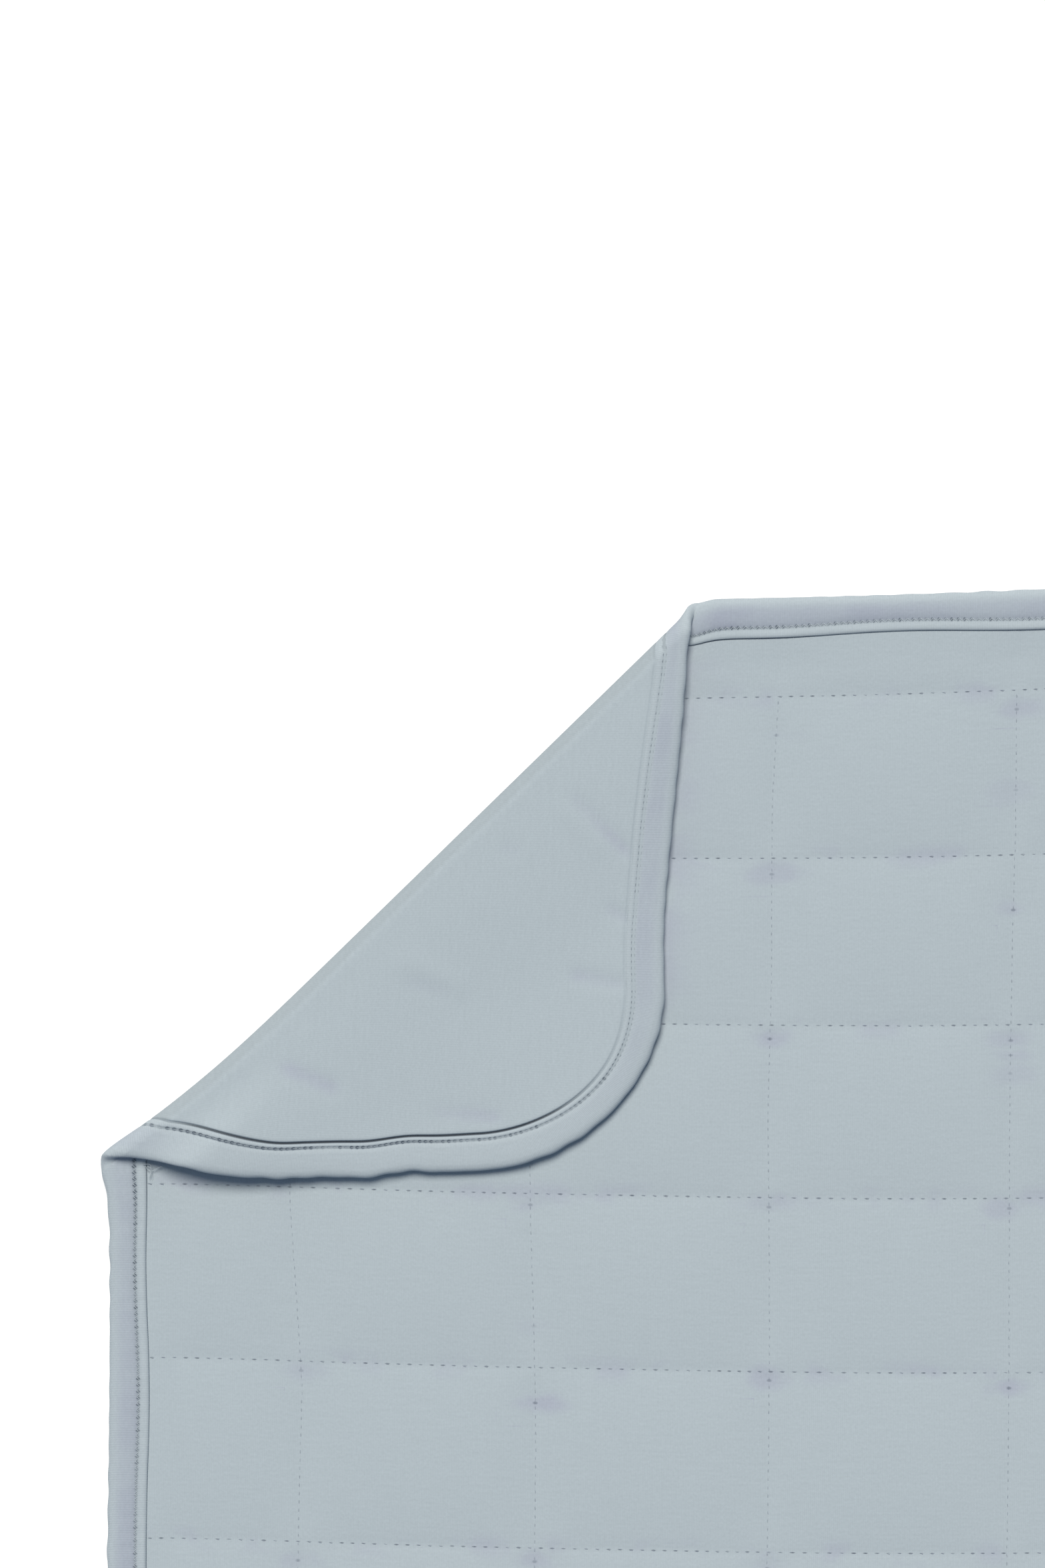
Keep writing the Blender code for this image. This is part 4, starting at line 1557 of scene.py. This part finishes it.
def seamStitches(name, lines, low, high, sewing, alongRow, seed):
    # running stitches of the front, of which only a short sunk part shows
    rng = np.random.default_rng(seed)
    starts = []
    ends = []
    first = math.ceil(low / sewing["pitch"])
    last = math.floor(high / sewing["pitch"])
    holes = np.arange(first, last + 1) * sewing["pitch"]
    for line in lines:
        drift = rng.uniform(-1, 1, (2, len(holes))) * sewing["slack"]
        for sign, side, found in ((-1, 0, starts), (1, 1, ends)):
            along = holes + sign * sewing["stitch"] / 2
            across = line + drift[side] - sign * sewing["slant"]
            found.append(np.stack([along, across] if alongRow else [across, along], axis=1))
    starts = np.concatenate(starts)
    ends = np.concatenate(ends)
    inside = edgeDistance(*starts.T) > blanket["sewnInset"]
    inside &= edgeDistance(*ends.T) > blanket["sewnInset"]

    def surface(centre, share):
        return centre[:, 0], centre[:, 1], frontUpper(centre[:, 0], centre[:, 1])

    thickness = sewing["radius"] * rng.uniform(0.35, 1.0, int(inside.sum()))
    threads = threadMesh(starts[inside], ends[inside], surface, sewing, thickness)
    return threadPiece(name, [threads], layFront, sunkMaterial)


rowStitches = seamStitches("rowStitches", rowSeams, -halfWidth, halfWidth, rowSewing, True, 31)
columnStitches = seamStitches(
    "columnStitches", columnSeams, rowSeams[-1], rowSeams[0], columnSewing, False, 32
)
print("quilting stitches:", len(rowStitches.data.polygons) + len(columnStitches.data.polygons), "faces")


def sectionHeight(inset, points):
    places = np.array(points)
    order = places[:, 0].argsort()
    return np.interp(inset, places[order, 0], places[order, 1])


def makeBindingStitches(name, sewing, zigzag, front):
    # the binding's own seams, once round the blanket
    count = round(edgeTotal / sewing["pitch"])
    hole = np.arange(count + 1) * edgeTotal / count
    if zigzag:
        middle = (hole[:-1] + hole[1:]) / 2
        legs = [(hole[:-1], middle, -0.5, 0.5), (middle, hole[1:], 0.5, -0.5)]
    else:
        legs = [(hole[:-1], hole[1:], 0.0, 0.0)]
    side = bindingForm["front"][3:14] if front else bindingForm["back"][2:12]
    table = [corner[:2] for corner in side]
    parts = []
    for begin, end, startSide, endSide in legs:
        width = sewing.get("width", 0.0)
        insets = (sewing["inset"] + startSide * width, sewing["inset"] + endSide * width)
        places = (begin, end)
        points = []
        for place, inset in zip(places, insets):
            moved, _ = bindingSurface(place, np.full(len(place), inset), np.full(len(place), 0.005))
            edge, normal = atEdge(place % edgeTotal)
            points.append(edge + normal * moved[:, None])

        def surface(centre, share, begin=begin, end=end, insets=insets):
            place = begin + (end - begin) * share
            inset = np.full(len(place), insets[0] + (insets[1] - insets[0]) * share)
            level = sectionHeight(inset, table)
            _, level = bindingSurface(place, inset, level)
            return centre[:, 0], centre[:, 1], level

        thickness = np.full(len(begin), sewing["radius"])
        parts.append(threadMesh(points[0], points[1], surface, sewing, thickness, not front))
    return threadPiece(name, parts, layDown, threadMaterial)


coverStitches = makeBindingStitches("coverStitches", coverSewing, True, True)
backStitches = makeBindingStitches("backStitches", backSewing, False, False)
print("binding stitches:", len(coverStitches.data.polygons) + len(backStitches.data.polygons), "faces")

# Loose ends of thread at the fold's left end: where they start, how far they reach, in metres
looseEnds = [
    {"start": (-0.3668, 0.2905, 0.0056), "reach": (0.0040, -0.0032, 0.0006), "curl": 0.0016},
    {"start": (-0.3662, 0.2902, 0.0054), "reach": (0.0058, -0.0016, 0.0004), "curl": -0.0014},
    {"start": (-0.3655, 0.2900, 0.0056), "reach": (0.0018, -0.0040, 0.0000), "curl": 0.0010},
]


looseRadius = 0.00010
loosePoints = 10


def makeLooseEnds():
    curve = bpy.data.curves.new("looseThreads", "CURVE")
    curve.dimensions = "3D"
    curve.bevel_depth = looseRadius
    curve.bevel_resolution = 1
    curve.use_fill_caps = True
    for end in looseEnds:
        spline = curve.splines.new("POLY")
        spline.points.add(loosePoints - 1)
        start = Vector(end["start"])
        reach = Vector(end["reach"])
        beside = Vector((-reach.y, reach.x, 0)).normalized()
        for i, point in enumerate(spline.points):
            share = i / (loosePoints - 1)
            curl = beside * (end["curl"] * math.sin(math.pi * share * 1.4))
            point.co = (*(start + reach * share + curl), 1)
    piece = bpy.data.objects.new("looseThreads", curve)
    curve.materials.append(threadMaterial)
    bpy.context.scene.collection.objects.link(piece)
    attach(piece, "root")
    return piece


looseThreads = makeLooseEnds()

# Floor, light and camera
studio = {
    "floorSize": 40.0,
    "floorColour": (0.93, 0.93, 0.93, 1.0),
    "floorGlow": 0.12,  # the floor is lit a little from behind, as a light table is
    "skyColour": (0.66, 0.86, 1.18, 1.0),
    "skyStrength": 0.22,
    "sunColour": (1.0, 0.954, 0.865),
    "sunStrength": 3.08,
    "sunSpread": 27.0,  # degrees: how soft its shadows are
    "sunFrom": (-0.10, 0.52, 1.0),
}
photo = {
    "width": 1568,
    "height": 2353,
    "metresLong": 0.5812,  # the photo's long side, at the cloth
    "middle": (-0.2264, 0.4316),
    "distance": 2.5,
    "clothHeight": 0.004,
}


def makeStudio():
    bpy.ops.mesh.primitive_plane_add(size=studio["floorSize"], location=(0, 0, -0.0002))
    floor = bpy.context.object
    floor.name = "floor"
    material = bpy.data.materials.new("paleFloor")
    material.use_nodes = True
    shader = material.node_tree.nodes["Principled BSDF"]
    shader.inputs["Base Color"].default_value = studio["floorColour"]
    shader.inputs["Roughness"].default_value = 0.9
    shader.inputs["Specular IOR Level"].default_value = 0.1
    shader.inputs["Emission Color"].default_value = (1.0, 1.0, 1.0, 1.0)
    shader.inputs["Emission Strength"].default_value = studio["floorGlow"]
    floor.data.materials.append(material)
    world = bpy.data.worlds.new("softSky")
    world.use_nodes = True
    world.node_tree.nodes["Background"].inputs["Color"].default_value = studio["skyColour"]
    world.node_tree.nodes["Background"].inputs["Strength"].default_value = studio["skyStrength"]
    bpy.context.scene.world = world
    sun = bpy.data.lights.new("softSun", "SUN")
    sun.energy = studio["sunStrength"]
    sun.color = studio["sunColour"]
    sun.angle = math.radians(studio["sunSpread"])
    lamp = bpy.data.objects.new("softSun", sun)
    lamp.rotation_euler = Vector(studio["sunFrom"]).to_track_quat("Z", "Y").to_euler()
    bpy.context.scene.collection.objects.link(lamp)


def makeCamera():
    data = bpy.data.cameras.new("camera")
    data.lens = data.sensor_width * photo["distance"] / photo["metresLong"]
    data.clip_end = 100.0
    camera = bpy.data.objects.new("camera", data)
    camera.location = (*photo["middle"], photo["distance"] + photo["clothHeight"])
    bpy.context.scene.collection.objects.link(camera)
    bpy.context.scene.camera = camera


makeStudio()
makeCamera()
bpy.context.scene.view_settings.view_transform = "Standard"
print("studio and camera set")
